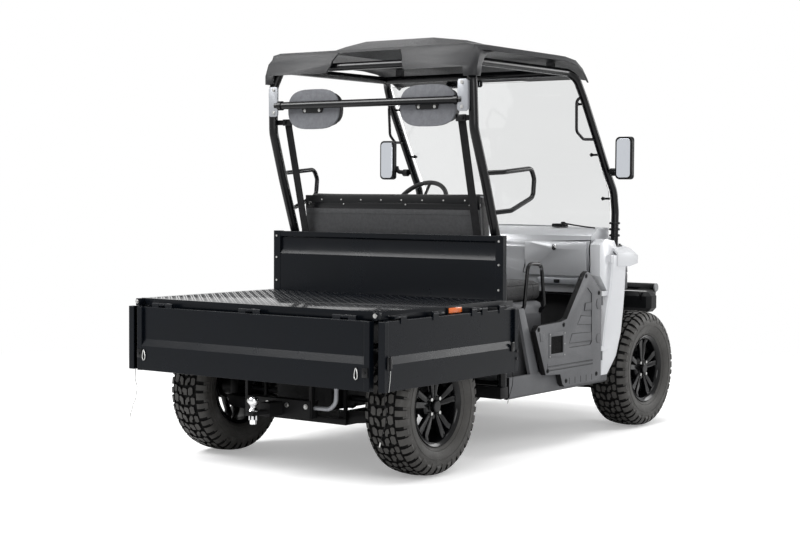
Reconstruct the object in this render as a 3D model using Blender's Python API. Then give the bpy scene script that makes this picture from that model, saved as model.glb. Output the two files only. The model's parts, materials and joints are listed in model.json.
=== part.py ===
# Side by side utility vehicle with a flat tipping bed, its three drop sides hanging open.
# Metres, +X forward, +Y to the vehicle's left, +Z up. The tables below measure x from the rear axle,
# and SHIFT_X moves the finished pieces so that the middle of the vehicle stands at the origin.
import math

import bmesh
import bpy
from mathutils import Matrix, Vector

for old in list(bpy.data.objects):
    bpy.data.objects.remove(old, do_unlink=True)

# Running gear
TYRE_R = 0.330
RIM_LIP_R = 0.190
RIM_BARREL_R = 0.177
BEAD_U = 0.086
TRACK_HALF = 0.611
REAR_AXLE_X = 0.0
FRONT_AXLE_X = 2.090
AXLE_Z = TYRE_R
KINGPIN_Y = 0.530
HUB_FACE_U = 0.030
SPOKE_PAIRS = 5
GAP = 0.0003

# Load bed
DECK_TOP = 0.801
DECK_DROP = 0.040
DECK_REAR_X = -0.496
DECK_FRONT_X = 0.545
DECK_HALF = 0.735
BED_PIVOT_X = -0.450
BED_PIVOT_Z = 0.700
BED_RAIL_Y0 = 0.245
BED_RAIL_Y1 = 0.300
BED_RAIL_BOTTOM = 0.600
HEADBOARD_X = 0.505
HEADBOARD_T = 0.030
HEADBOARD_TOP = 1.116
HEADBOARD_FLANGE = 0.002
HEADBOARD_SEAT_Z = DECK_TOP - 0.003
GATE_H = 0.317
GATE_HALF = 0.713
GATE_AXIS_X = -0.528
GATE_AXIS_Z = 0.775
GATE_TOP = 0.767
SIDE_AXIS_Y = 0.768
SIDE_REAR_X = -0.535
SIDE_FRONT_X = 0.570

# Cab
POST_R = 0.024
RAIL_R = 0.021
FLOOR_Z = 0.357
FLOOR_T = 0.015
FLOOR_REAR_X = 0.675
FLOOR_FRONT_X = 1.700
FLOOR_HALF = 0.655
SILL_OUT = 0.6695
SEAT_BASE_X0 = 0.680
SEAT_BASE_X1 = 1.110
SEAT_BASE_HALF = 0.600
SEAT_BASE_TOP = 0.764
CUSHION_TOP = 0.872
SEAT_BACK_TOP = 1.333
SEAT_BACK_HALF = 0.565
ROOF_HALF = 0.672
ROOF_SIDE_Z = 2.055
ROOF_REAR_X = 0.335
ROOF_NOSE_X = 1.512
CAGE_RAIL_Z = 1.972
CAGE_RAIL_Y = 0.600
SCREEN_HALF = 0.622
DOOR_IN_Y = 0.675
DOOR_OUT_Y = 0.705
DOOR_AXIS_X = 1.566
DOOR_EDGE_X = DOOR_AXIS_X - 0.0105
HINGE_R = 0.008
DOOR_AXIS_Y = 0.700
STEER_Y = 0.330
STEER_WHEEL_R = 0.180

# Front end
BUMPER_X = 2.510
BUMPER_Z = 0.770
BUMPER_HALF = 0.550
BUMPER_R = 0.025
LAMP_R = 0.052
BAND_REAR_X = DOOR_AXIS_X + 0.0135

# Rear end
HITCH_X = -0.502
HITCH_Z = 0.349
HITCH_BALL_R = 0.025

TAIL_X = GATE_AXIS_X - 0.022
NOSE_X = BUMPER_X + BUMPER_R
SHIFT_X = -(TAIL_X + NOSE_X) / 2

PAINTS = {
    "bed_black": (0.030, 0.032, 0.038),
    "frame_black": (0.025, 0.025, 0.027),
    "plastic_grey": (0.150, 0.152, 0.155),
    "dark_grey": (0.060, 0.061, 0.064),
    "silver": (0.560, 0.570, 0.590),
    "vinyl": (0.025, 0.025, 0.027),
    "rubber": (0.022, 0.022, 0.022),
    "rim": (0.020, 0.020, 0.022),
    "glass": (0.620, 0.650, 0.660),
    "steel": (0.420, 0.420, 0.430),
    "chrome": (0.700, 0.700, 0.700),
    "webbing": (0.020, 0.020, 0.022),
}


def paint(name):
    found = bpy.data.materials.get(name)
    if found:
        return found
    made = bpy.data.materials.new(name)
    made.use_nodes = True
    shader = made.node_tree.nodes["Principled BSDF"]
    shader.inputs["Base Color"].default_value = (*PAINTS[name], 1.0)
    shader.inputs["Roughness"].default_value = 0.45
    return made


def as_object(bm, name="piece"):
    bmesh.ops.recalc_face_normals(bm, faces=bm.faces)
    mesh = bpy.data.meshes.new(name)
    bm.to_mesh(mesh)
    bm.free()
    made = bpy.data.objects.new(name, mesh)
    bpy.context.scene.collection.objects.link(made)
    return made


def box(x, y, z):
    """A block between the two values of each pair."""
    bm = bmesh.new()
    bmesh.ops.create_cube(bm, size=1.0)
    size = (abs(x[1] - x[0]), abs(y[1] - y[0]), abs(z[1] - z[0]))
    middle = ((x[0] + x[1]) / 2, (y[0] + y[1]) / 2, (z[0] + z[1]) / 2)
    bmesh.ops.scale(bm, vec=size, verts=bm.verts)
    bmesh.ops.translate(bm, vec=middle, verts=bm.verts)
    return as_object(bm)


def prism(outline, axis, low, high):
    """A flat outline pushed through along one axis. The outline gives the other two axes in order."""
    bm = bmesh.new()
    low, high = min(low, high), max(low, high)
    places = {"x": lambda a, b: (low, a, b), "y": lambda a, b: (a, low, b), "z": lambda a, b: (a, b, low)}
    ring = [bm.verts.new(places[axis](a, b)) for a, b in outline]
    face = bm.faces.new(ring)
    grown = bmesh.ops.extrude_face_region(bm, geom=[face])
    push = {"x": (high - low, 0, 0), "y": (0, high - low, 0), "z": (0, 0, high - low)}[axis]
    moved = [item for item in grown["geom"] if isinstance(item, bmesh.types.BMVert)]
    bmesh.ops.translate(bm, vec=push, verts=moved)
    return as_object(bm)


def lathe(profile, centre, axis, sides):
    """A ring or a solid turned about an axis through the centre. The profile is (along, radius)."""
    bm = bmesh.new()
    along = {"x": Vector((1, 0, 0)), "y": Vector((0, 1, 0)), "z": Vector((0, 0, 1))}[axis]
    across = {"x": Vector((0, 1, 0)), "y": Vector((0, 0, 1)), "z": Vector((1, 0, 0))}[axis]
    third = along.cross(across)
    rings = []
    for u, r in profile:
        if r < 1e-6:
            rings.append([bm.verts.new(Vector(centre) + along * u)])
            continue
        ring = []
        for k in range(sides):
            turn = 2 * math.pi * k / sides
            out = across * math.cos(turn) + third * math.sin(turn)
            ring.append(bm.verts.new(Vector(centre) + along * u + out * r))
        rings.append(ring)
    closed = profile[0][1] > 1e-6 and profile[-1][1] > 1e-6
    pairs = list(zip(rings, rings[1:])) + ([(rings[-1], rings[0])] if closed else [])
    for first, second in pairs:
        for k in range(sides):
            n = (k + 1) % sides
            if len(first) == 1:
                bm.faces.new((first[0], second[k], second[n]))
            elif len(second) == 1:
                bm.faces.new((first[k], second[0], first[n]))
            else:
                bm.faces.new((first[k], second[k], second[n], first[n]))
    return as_object(bm)


def cylinder(centre, axis, radius, low, high, sides=16):
    return lathe([(low, 0.0), (low, radius), (high, radius), (high, 0.0)], centre, axis, sides)


def rounded(points, radius, steps=3):
    """The route with each inner corner turned into a bend."""
    points = [Vector(p) for p in points]
    route = [points[0]]
    for before, corner, after in zip(points, points[1:], points[2:]):
        back = before - corner
        ahead = after - corner
        turn = math.pi - back.angle(ahead)
        reach = min(radius * math.tan(turn / 2), back.length * 0.48, ahead.length * 0.48)
        start = corner + back.normalized() * reach
        end = corner + ahead.normalized() * reach
        for k in range(steps + 1):
            t = k / steps
            route.append(start * (1 - t) ** 2 + corner * 2 * t * (1 - t) + end * t ** 2)
    route.append(points[-1])
    return route


def tube(points, radius, fine=3, bend=0.0, steps=3, loop=False):
    """A round bar along the points, with closed ends."""
    route = rounded(points, bend, steps) if bend else [Vector(p) for p in points]
    data = bpy.data.curves.new("route", "CURVE")
    data.dimensions = "3D"
    spline = data.splines.new("POLY")
    spline.points.add(len(route) - 1)
    for point, place in zip(spline.points, route):
        point.co = (*place, 1.0)
    spline.use_cyclic_u = loop
    data.bevel_depth = radius
    data.bevel_resolution = fine
    data.use_fill_caps = not loop
    carrier = bpy.data.objects.new("route", data)
    bpy.context.scene.collection.objects.link(carrier)
    bpy.context.view_layer.update()
    mesh = bpy.data.meshes.new_from_object(carrier.evaluated_get(bpy.context.evaluated_depsgraph_get()))
    bpy.data.objects.remove(carrier, do_unlink=True)
    bm = bmesh.new()
    bm.from_mesh(mesh)
    bmesh.ops.remove_doubles(bm, verts=bm.verts, dist=1e-6)
    return as_object(bm)


def eased(piece, width, segments=2):
    """Rounds the edges of a block by the Bevel modifier."""
    step = piece.modifiers.new("ease", "BEVEL")
    step.width = width
    step.segments = segments
    step.limit_method = "ANGLE"
    step.angle_limit = math.radians(40)
    return settled(piece)


def settled(piece):
    bpy.context.view_layer.update()
    graph = bpy.context.evaluated_depsgraph_get()
    mesh = bpy.data.meshes.new_from_object(piece.evaluated_get(graph))
    piece.modifiers.clear()
    piece.data = mesh
    return piece


def combined(base, others, operation, solver="EXACT"):
    for other in others:
        step = base.modifiers.new("fuse", "BOOLEAN")
        step.operation = operation
        step.solver = solver
        step.object = other
        settled(base)
        bpy.data.objects.remove(other, do_unlink=True)
    return base


def fused(pieces, cuts=(), solver="EXACT"):
    return combined(combined(pieces[0], pieces[1:], "UNION", solver), cuts, "DIFFERENCE", solver)


def node(name, piece, colour, origin=(0.0, 0.0, 0.0), smooth=True):
    """Names a finished piece, gives it its paint and puts its origin on the joint axis."""
    piece.name = name
    piece.data.name = name
    place = Vector(origin) + Vector((SHIFT_X, 0, 0)) if tuple(origin) != (0.0, 0.0, 0.0) else Vector()
    shift = Vector((SHIFT_X, 0, 0)) - place
    piece.data.transform(Matrix.Translation(shift))
    piece.location = place
    piece.data.materials.clear()
    piece.data.materials.append(paint(colour))
    if smooth:
        piece.data.shade_smooth()
        piece.data.set_sharp_from_angle(angle=math.radians(35))
    return piece


SIDES = (("left", 1), ("right", -1))


# Wheels: a lugged tyre and a five pair alloy rim for each corner
WHEEL_SIDES = 24
LUG_PITCHES = 22
LUG_SHARE = 0.68
GROOVE_DEPTH = 0.012
ZIGZAG = 0.6
TREAD_ROWS = ((0.045, TYRE_R), (0.090, 0.3265), (0.104, 0.3160))
SIDEWALL_SIDES = LUG_PITCHES * 3 // 2
BORE_R = (RIM_BARREL_R + 0.0005) / math.cos(math.pi / SIDEWALL_SIDES)
SIDEWALL_ROWS = ((0.1125, 0.290), (0.1150, 0.258), (0.1060, 0.220), (BEAD_U, 0.1925), (BEAD_U, BORE_R))
WHEELS = (
    ("front_left", FRONT_AXLE_X, 1),
    ("front_right", FRONT_AXLE_X, -1),
    ("rear_left", REAR_AXLE_X, 1),
    ("rear_right", REAR_AXLE_X, -1),
)


def round_row(bm, u, radii, shares, phase):
    """One row of a tyre: a point for each share of a pitch, all round, starting at the bottom."""
    row = []
    for pitch in range(LUG_PITCHES):
        for radius, share in zip(radii, shares):
            turn = 2 * math.pi * (pitch + share + phase) / LUG_PITCHES - math.pi / 2
            row.append(bm.verts.new((radius * math.cos(turn), u, radius * math.sin(turn))))
    return row


def bridged(bm, first, second):
    """Joins two closed rows, the second with as many points or half as many."""
    count = len(first)
    step = count // len(second)
    for k in range(0, count, step):
        n = (k + step) % count
        a, b = second[k // step], second[(k // step + 1) % len(second)]
        if step == 1:
            bm.faces.new((first[k], first[n], b, a))
        else:
            middle = first[k + 1]
            bm.faces.new((first[k], middle, a))
            bm.faces.new((middle, b, a))
            bm.faces.new((middle, first[n], b))


def tyre_piece():
    """A tyre whose lugs zigzag from one shoulder to the other."""
    bm = bmesh.new()
    shares = (0.0, LUG_SHARE, (1 + LUG_SHARE) / 2)
    sides = []
    for side in (1, -1):
        phase = 0.0 if side > 0 else ZIGZAG
        rows = [round_row(bm, side * u, (r, r, r - GROOVE_DEPTH), shares, phase) for u, r in TREAD_ROWS]
        for place, (u, r) in enumerate(SIDEWALL_ROWS):
            settle = phase * max(0.0, 1 - place / 3)
            row = []
            for k in range(SIDEWALL_SIDES):
                turn = 2 * math.pi * (k * 2 / 3 + settle) / LUG_PITCHES - math.pi / 2
                row.append(bm.verts.new((r * math.cos(turn), side * u, r * math.sin(turn))))
            rows.append(row)
        for first, second in zip(rows, rows[1:]):
            bridged(bm, first, second)
        sides.append(rows)
    bridged(bm, sides[0][0], sides[1][0])
    bridged(bm, sides[0][-1], sides[1][-1])
    return as_object(bm)


def rim_piece():
    """The rim of a left hand wheel, its outer face towards +Y."""
    lip = BEAD_U + 0.0005
    barrel = [
        (-0.094, RIM_LIP_R),
        (-lip, RIM_LIP_R),
        (-lip, RIM_BARREL_R),
        (lip, RIM_BARREL_R),
        (lip, RIM_LIP_R),
        (0.094, RIM_LIP_R),
        (0.084, 0.168),
        (-0.084, 0.168),
    ]
    pieces = [lathe(barrel, (0, 0, 0), "y", WHEEL_SIDES)]
    pieces.append(cylinder((0, 0, 0), "y", 0.068, HUB_FACE_U, 0.0712, 12))
    pieces.append(cylinder((0, 0, 0), "y", 0.030, 0.060, 0.086, 8))
    for k in range(2 * SPOKE_PAIRS):
        lean = 1 if k % 2 else -1
        turn = 2 * math.pi * (k // 2) / SPOKE_PAIRS + math.pi / 2
        ring = []
        for radius, offset, half in ((0.050, 0.20, 0.014), (0.173, 0.30, 0.011)):
            angle = turn + lean * offset
            spot = Vector((math.cos(angle), math.sin(angle))) * radius
            cross = Vector((-math.sin(angle), math.cos(angle))) * half
            ring.append((spot - cross, spot + cross))
        outline = [tuple(p) for p in (ring[0][0], ring[1][0], ring[1][1], ring[0][1])]
        stagger = k * 0.0003
        pieces.append(prism(outline, "y", 0.048 + stagger, 0.0740 + stagger))
    return fused(pieces)


def copied(piece, place, side):
    """A copy of a left hand piece, turned over for the right hand side."""
    bm = bmesh.new()
    bm.from_mesh(piece.data)
    bmesh.ops.scale(bm, vec=(1, side, 1), verts=bm.verts)
    bmesh.ops.translate(bm, vec=place, verts=bm.verts)
    return as_object(bm)


patterns = (("tyre_", tyre_piece(), "rubber"), ("rim_", rim_piece(), "rim"))
for prefix, pattern, colour in patterns:
    for label, x, side in WHEELS:
        hub = (x, side * TRACK_HALF, AXLE_Z)
        node(prefix + label, copied(pattern, hub, side), colour, hub)
    bpy.data.objects.remove(pattern, do_unlink=True)

# Steering knuckles, each turning about its upright kingpin
for label, side in SIDES:
    hub = (FRONT_AXLE_X, side * TRACK_HALF, AXLE_Z)
    pieces = [
        box((2.055, 2.125), (side * 0.505, side * 0.560), (0.235, 0.425)),
        cylinder(hub, "y", 0.045, side * -0.075, side * (HUB_FACE_U - 0.012), 14),
        cylinder(hub, "y", 0.062, side * (HUB_FACE_U - 0.016), side * (HUB_FACE_U - GAP), 14),
        cylinder((FRONT_AXLE_X, side * KINGPIN_Y, 0), "z", 0.013, 0.2153, 0.4447, 8),
        prism(
            [(2.070, side * 0.545), (2.110, side * 0.545), (2.000, side * 0.470), (1.985, side * 0.495)],
            "z", 0.300, 0.316,
        ),
    ]
    node("knuckle_" + label, fused(pieces), "frame_black", (FRONT_AXLE_X, side * KINGPIN_Y, AXLE_Z))

# Chassis: two rails that rise over both axles, with brackets, and the cross members between them
RAIL_IN, RAIL_OUT = 0.240, 0.300
RAIL_NOSE_BOTTOM = 0.470
RAIL_SHAPE = (
    (-0.350, 0.570), (0.380, 0.570), (0.580, 0.355), (1.705, 0.355), (1.840, 0.540), (2.390, 0.540),
    (2.390, RAIL_NOSE_BOTTOM), (1.870, RAIL_NOSE_BOTTOM), (1.715, 0.285), (0.550, 0.285), (0.350, 0.500),
    (-0.350, 0.500),
)
for label, side in SIDES:
    bracket = [(-0.345, 0.540), (-0.260, 0.540), (-0.420, 0.722), (-0.462, 0.722), (-0.472, 0.690), (-0.440, 0.665)]
    pieces = [
        prism(RAIL_SHAPE, "y", side * RAIL_IN, side * RAIL_OUT),
        prism(bracket, "y", side * (BED_RAIL_Y1 + GAP), side * 0.316),
        box((-0.342, -0.262), (side * 0.290, side * 0.312), (0.520, 0.562)),
        cylinder((BED_PIVOT_X, 0, BED_PIVOT_Z), "y", 0.014, side * (BED_RAIL_Y1 + GAP), side * 0.325, 12),
        box((0.240, 0.290), (side * 0.250, side * 0.290), (0.560, BED_RAIL_BOTTOM - GAP)),
        box((0.590, 0.660), (side * 0.290, side * 0.672), (0.300, 0.3558)),
        box((2.070, 2.110), (side * 0.255, side * 0.285), (0.530, 0.648 - GAP)),
        box((1.120, 1.170), (side * 0.290, side * (0.640 - GAP)), (0.300, 0.352)),
        box((1.600, 1.650), (side * 0.290, side * (0.640 - GAP)), (0.300, 0.352)),
    ]
    node("chassis_rail_" + label, fused(pieces), "frame_black")
CROSS_MEMBERS = (
    ("axle", 0.300, 0.345, 0.505, 0.565),
    ("seat", 0.600, 0.650, 0.290, 0.352),
    ("floor", 1.120, 1.170, 0.290, 0.352),
    ("toe", 1.620, 1.670, 0.290, 0.352),
    ("nose", 2.330, 2.385, 0.475, 0.535),
)
BETWEEN_RAILS = (GAP - RAIL_IN, RAIL_IN - GAP)
for label, x0, x1, z0, z1 in CROSS_MEMBERS:
    node("cross_member_" + label, box((x0, x1), BETWEEN_RAILS, (z0, z1)), "frame_black")

# Front suspension: subframe hung below the rails, with upper and lower wishbones
ARM_LEVELS = ((0.2000, 0.2150, 0.265), (0.4450, 0.4600, 0.290))
pieces = [
    box((2.010, 2.170), (-0.180, 0.180), (0.2000, 0.2250)),
    box((2.020, 2.040), (-0.180, 0.180), (0.2100, 0.4550)),
    box((2.140, 2.160), (-0.180, 0.180), (0.2100, 0.4550)),
    box((2.010, 2.170), (-0.180, 0.180), (0.4400, 0.4600)),
    box((2.020, 2.050), (-RAIL_OUT, RAIL_OUT), (0.4580, RAIL_NOSE_BOTTOM - GAP)),
    box((2.130, 2.160), (-RAIL_OUT, RAIL_OUT), (0.4580, RAIL_NOSE_BOTTOM - GAP)),
]
for low, high, inner in ARM_LEVELS:
    for label, side in SIDES:
        for foot in (2.000, 2.180):
            run = [(foot, side * 0.165), (2.090, side * KINGPIN_Y)]
            across = Vector((run[1][0] - run[0][0], run[1][1] - run[0][1])).orthogonal().normalized() * 0.014
            ring = [
                (run[0][0] + across.x, run[0][1] + across.y),
                (run[1][0] + across.x, run[1][1] + across.y),
                (run[1][0] - across.x, run[1][1] - across.y),
                (run[0][0] - across.x, run[0][1] - across.y),
            ]
            pieces.append(prism(ring, "z", low, high))
        pieces.append(cylinder((2.090, side * KINGPIN_Y, 0), "z", 0.026, low, high, 10))
node("front_suspension", fused(pieces), "frame_black")

# Rear suspension: slotted box arms with the hub carriers
pieces = [box((-0.130, 0.130), (-0.258, 0.258), (0.215, 0.245))]
for label, side in SIDES:
    for x0, x1 in ((-0.128, -0.112), (0.112, 0.128)):
        pieces.append(box((x0, x1), (side * 0.242, side * 0.257), (0.230, 0.500 - GAP)))
    slab = prism([(side * 0.200, 0.215), (side * 0.510, 0.250), (side * 0.510, 0.305), (side * 0.200, 0.2750)],
                 "x", -0.110, 0.110)
    slot = [box((x0, x1), (side * 0.260, side * 0.460), (0.150, 0.400)) for x0, x1 in ((-0.085, -0.030), (0.030, 0.085))]
    pieces.append(combined(slab, slot, "DIFFERENCE"))
    hub = (REAR_AXLE_X, side * TRACK_HALF, AXLE_Z)
    pieces.append(box((-0.060, 0.060), (side * 0.490, side * 0.540), (0.245, 0.425)))
    pieces.append(cylinder(hub, "y", 0.047, side * -0.093, side * (HUB_FACE_U - 0.012), 14))
    pieces.append(cylinder(hub, "y", 0.062, side * (HUB_FACE_U - 0.016), side * (HUB_FACE_U - GAP), 14))
node("rear_suspension", fused(pieces, solver="MANIFOLD"), "frame_black")

# Drive unit with its half shafts, the heavy mass at the back
pieces = [
    eased(box((-0.150, 0.210), (-0.170, 0.170), (0.2753, 0.470)), 0.020, 1),
    cylinder((0, 0, AXLE_Z), "y", 0.052, -0.200, 0.200, 14),
    cylinder((0, 0, AXLE_Z), "y", 0.015, -(0.490 - GAP), 0.490 - GAP, 10),
]
node("drive_unit", fused(pieces), "dark_grey")

# Coil over dampers, each pair joined by the cross tube that carries them
COILS = 5
COIL_R = 0.034
DAMPERS = (
    ("front_dampers", 2.090, 0.420, 0.4790, 0.345, 0.660, 0.660),
    ("rear_dampers", 0.0970, 0.400, 0.3140, 0.345, 0.555, 0.4877),
)


def coils(low, high):
    """A coil spring as a row of rounded rings between two seats."""
    run = high - low
    pitch = run.length / COILS
    profile = [(0.0, 0.0)]
    for k in range(COILS):
        profile += [(pitch * (k + 0.02), 0.024), (pitch * (k + 0.35), COIL_R), (pitch * (k + 0.70), COIL_R)]
    profile += [(run.length, 0.0)]
    made = lathe(profile, (0, 0, 0), "z", 9)
    made.data.transform(Matrix.Translation(low) @ run.to_track_quat("Z", "Y").to_matrix().to_4x4())
    return made


for name, x, low_y, low_z, high_y, high_z, tie_z in DAMPERS:
    pieces = [cylinder((x, 0, tie_z), "y", 0.012, -high_y, high_y, 8)]
    for label, side in SIDES:
        foot = Vector((x, side * low_y, low_z))
        head = Vector((x, side * high_y, high_z))
        run = head - foot
        pieces.append(tube([foot, head], 0.010, 1))
        pieces.append(tube([foot + run * 0.10, foot + run * 0.45], 0.019, 2))
        pieces.append(coils(foot + run * 0.16, foot + run * 0.82))
        pieces.append(cylinder(foot, "x", 0.0197, -0.018, 0.018, 10))
        pieces.append(cylinder(head, "x", 0.019, -0.020, 0.020, 10))
        if tie_z < high_z:
            pieces.append(box((x - 0.014, x + 0.014), (side * 0.318, side * 0.338), (tie_z - 0.006, high_z + 0.004)))
    node(name, fused(pieces, solver="MANIFOLD"), "steel")

# Tow hitch: cross member, drop plates, receiver, tongue and ball
pieces = [
    box((-0.350, -0.290), BETWEEN_RAILS, (0.505, 0.565)),
    box((-0.330, -0.270), (-0.200, 0.200), (0.262, 0.345)),
    box((-0.420, -0.300), (-0.032, 0.032), (0.268, 0.332)),
    box((-0.530, -0.400), (-0.024, 0.024), (0.282, 0.300)),
    cylinder((HITCH_X, 0, 0), "z", 0.016, 0.240, 0.312, 8),
    cylinder((HITCH_X, 0, 0), "z", 0.022, 0.262, 0.284, 6),
    cylinder((HITCH_X, 0, 0), "z", 0.012, 0.300, 0.340, 8),
    lathe(
        [(HITCH_BALL_R * math.sin(math.radians(a)), max(HITCH_BALL_R * math.cos(math.radians(a)), 0.0))
         for a in (-90, -50, -10, 30, 60, 90)],
        (HITCH_X, 0, HITCH_Z), "z", 12,
    ),
]
for label, side in SIDES:
    pieces.append(box((-0.325, -0.295), (side * 0.190, side * 0.206), (0.262, 0.520)))
node("tow_hitch", fused(pieces), "frame_black")

# Load bed: deck, headboard and three drop sides
BED_ORIGIN = (BED_PIVOT_X, 0.0, BED_PIVOT_Z)
BED_CROSS = (-0.440, -0.200, 0.100, 0.420)
PLATE_END_X = HEADBOARD_X - HEADBOARD_FLANGE - GAP
deck = [
    (DECK_REAR_X, DECK_TOP - DECK_DROP), (DECK_FRONT_X, DECK_TOP - DECK_DROP), (DECK_FRONT_X, HEADBOARD_SEAT_Z),
    (PLATE_END_X, HEADBOARD_SEAT_Z), (PLATE_END_X, DECK_TOP), (DECK_REAR_X, DECK_TOP),
]
pieces = [prism(deck, "y", -DECK_HALF, DECK_HALF)]
for label, side in SIDES:
    pieces.append(box((-0.475, 0.480), (side * BED_RAIL_Y0, side * BED_RAIL_Y1), (BED_RAIL_BOTTOM, 0.770)))
    pieces.append(box((0.015, 0.131), (side * (DECK_HALF - 0.010), side * 0.743), (0.7630, 0.7930)))
    pieces.append(box((0.530, 0.600), (side * 0.700, side * 0.732), (0.765, HEADBOARD_SEAT_Z - 0.002)))
    for x in (-0.420, -0.080, 0.240, 0.480):
        pieces.append(box((x - 0.022, x + 0.022), (side * 0.720, side * SIDE_AXIS_Y), (0.770, 0.780)))
        pieces.append(cylinder((x, side * SIDE_AXIS_Y, GATE_AXIS_Z), "x", 0.0075, -0.022, 0.022, 6))
for y in (-0.560, 0.0, 0.560):
    pieces.append(box((GATE_AXIS_X, -0.480), (y - 0.022, y + 0.022), (0.770, 0.780)))
    pieces.append(cylinder((GATE_AXIS_X, y, GATE_AXIS_Z), "y", 0.0075, -0.022, 0.022, 6))
for x in BED_CROSS:
    pieces.append(box((x - 0.020, x + 0.020), (-0.690, 0.690), (0.745, 0.765)))
node("bed_deck", fused(pieces), "bed_black", BED_ORIGIN)

panel = prism(
    [
        (HEADBOARD_X, HEADBOARD_SEAT_Z + GAP), (HEADBOARD_X + HEADBOARD_T, HEADBOARD_SEAT_Z + GAP),
        (HEADBOARD_X + HEADBOARD_T, HEADBOARD_TOP), (HEADBOARD_X, HEADBOARD_TOP),
        (HEADBOARD_X, 1.090), (HEADBOARD_X + 0.012, 1.082), (HEADBOARD_X + 0.012, 1.020),
        (HEADBOARD_X, 0.996),
    ],
    "y", -0.700, 0.700,
)
pieces = [panel]
for label, side in SIDES:
    pieces.append(box((HEADBOARD_X - HEADBOARD_FLANGE, HEADBOARD_X + HEADBOARD_T), (side * 0.690, side * DECK_HALF),
                      (HEADBOARD_SEAT_Z + GAP, HEADBOARD_TOP + HEADBOARD_FLANGE)))
node("bed_headboard", fused(pieces), "bed_black", BED_ORIGIN)


def drop_side(length_axis, face, back, low, high, ends):
    """A hanging drop side: skin with a sloped crease band and proud end flanges."""
    out = 1 if face > back else -1
    skin = face - out * 0.008
    shape = [
        (back, high), (skin, high), (skin, high - 0.165), (face, high - 0.200), (face, high - 0.235),
        (skin, high - 0.250), (skin, low + 0.014), (face, low + 0.008), (face, low), (back, low),
    ]
    pieces = [prism(shape, length_axis, ends[0] + 0.020, ends[1] - 0.020)]
    for start, end in ((ends[0], ends[0] + 0.030), (ends[1] - 0.030, ends[1])):
        pair = (start, end)
        across = (back, face)
        upright = (low, high)
        pieces.append(box(pair, across, upright) if length_axis == "x" else box(across, pair, upright))
    return pieces


GATE_LOW = GATE_TOP - GATE_H
pieces = drop_side("y", GATE_AXIS_X - 0.022, GATE_AXIS_X + 0.013, GATE_LOW, GATE_TOP - 0.006, (-GATE_HALF, GATE_HALF))
for y in (-0.6043, -0.5157, -0.0443, 0.0443, 0.5157, 0.6043):
    pieces.append(box((GATE_AXIS_X - 0.006, GATE_AXIS_X + 0.006), (y - 0.022, y + 0.022), (0.745, GATE_AXIS_Z)))
    pieces.append(cylinder((GATE_AXIS_X, y, GATE_AXIS_Z), "y", 0.0075, -0.022, 0.022, 6))
node("tailgate", fused(pieces), "bed_black", (GATE_AXIS_X, 0.0, GATE_AXIS_Z))

for label, side in SIDES:
    pieces = drop_side("x", side * (SIDE_AXIS_Y + 0.017), side * (SIDE_AXIS_Y - 0.018), GATE_LOW, GATE_TOP - 0.006,
                       (SIDE_REAR_X, SIDE_FRONT_X))
    for x in (-0.3757, -0.1243, 0.1957, 0.2843, 0.4357):
        pieces.append(box((x - 0.022, x + 0.022), (side * (SIDE_AXIS_Y - 0.006), side * (SIDE_AXIS_Y + 0.006)),
                          (0.745, GATE_AXIS_Z)))
        pieces.append(cylinder((x, side * SIDE_AXIS_Y, GATE_AXIS_Z), "x", 0.0075, -0.022, 0.022, 6))
    node("bed_side_" + label, fused(pieces), "bed_black", (0.0, side * SIDE_AXIS_Y, GATE_AXIS_Z))

# Lanyards for the latch pins, loose below the side panels
LANYARDS = (
    ("lanyard_rear", -0.505, (0.000, -0.004, 0.010, 0.002, -0.022, -0.040), 0.235, 27),
    ("lanyard_front", 0.545, (0.000, 0.006, 0.004, -0.010, -0.026, -0.040), 0.150, 18),
)
LANYARD_R = 0.0015
for name, x, sway, drop, points in LANYARDS:
    for label, side in SIDES:
        top = GATE_LOW - 2 * GAP
        route = []
        for k in range(points):
            t = k / (points - 1)
            spot = t * (len(sway) - 1)
            n = min(int(spot), len(sway) - 2)
            f = spot - n
            f = f * f * (3 - 2 * f)
            route.append((x + sway[n] * (1 - f) + sway[n + 1] * f, side * SIDE_AXIS_Y, top - drop * t))
        node(name + "_" + label, tube(route, LANYARD_R, 1), "steel", (0.0, side * SIDE_AXIS_Y, GATE_AXIS_Z))

# Floor with toe board, sills and pedals
pieces = [
    box((FLOOR_REAR_X, FLOOR_FRONT_X - 0.020), (-FLOOR_HALF, FLOOR_HALF), (FLOOR_Z, FLOOR_Z + FLOOR_T)),
    prism([(1.560, FLOOR_Z), (1.700, FLOOR_Z), (1.732, 0.520), (1.732, 0.760), (1.715, 0.760), (1.715, 0.525),
           (1.660, 0.372), (1.560, 0.372)], "y", -FLOOR_HALF + 0.005, FLOOR_HALF - 0.005),
    prism([(1.560, 0.460), (1.580, 0.452), (1.610, 0.520), (1.590, 0.528)], "y", 0.190, 0.250),
    tube([(1.590, 0.220, 0.490), (1.665, 0.220, 0.370)], 0.008, 2),
    prism([(1.575, 0.440), (1.592, 0.434), (1.620, 0.545), (1.603, 0.550)], "y", 0.300, 0.420),
    tube([(1.600, 0.360, 0.490), (1.690, 0.360, 0.450)], 0.008, 2),
]
for label, side in SIDES:
    sill = [(side * 0.650, 0.358), (side * 0.650, 0.400), (side * SILL_OUT, 0.400), (side * SILL_OUT, 0.300),
            (side * 0.655, 0.288), (side * 0.640, 0.288), (side * 0.640, 0.358)]
    pieces.append(prism(sill, "x", FLOOR_REAR_X, 1.690))
    strut = [(0.890, 0.372), (0.975, 0.372), (0.812, 0.742), (0.760, 0.742)]
    pieces.append(prism(strut, "y", side * 0.6500, side * 0.668))
    pieces.append(box((0.770, 0.800), (side * (SEAT_BASE_HALF + GAP), side * 0.655), (0.715, 0.740)))
node("floor_pan", fused(pieces), "plastic_grey")

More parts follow.
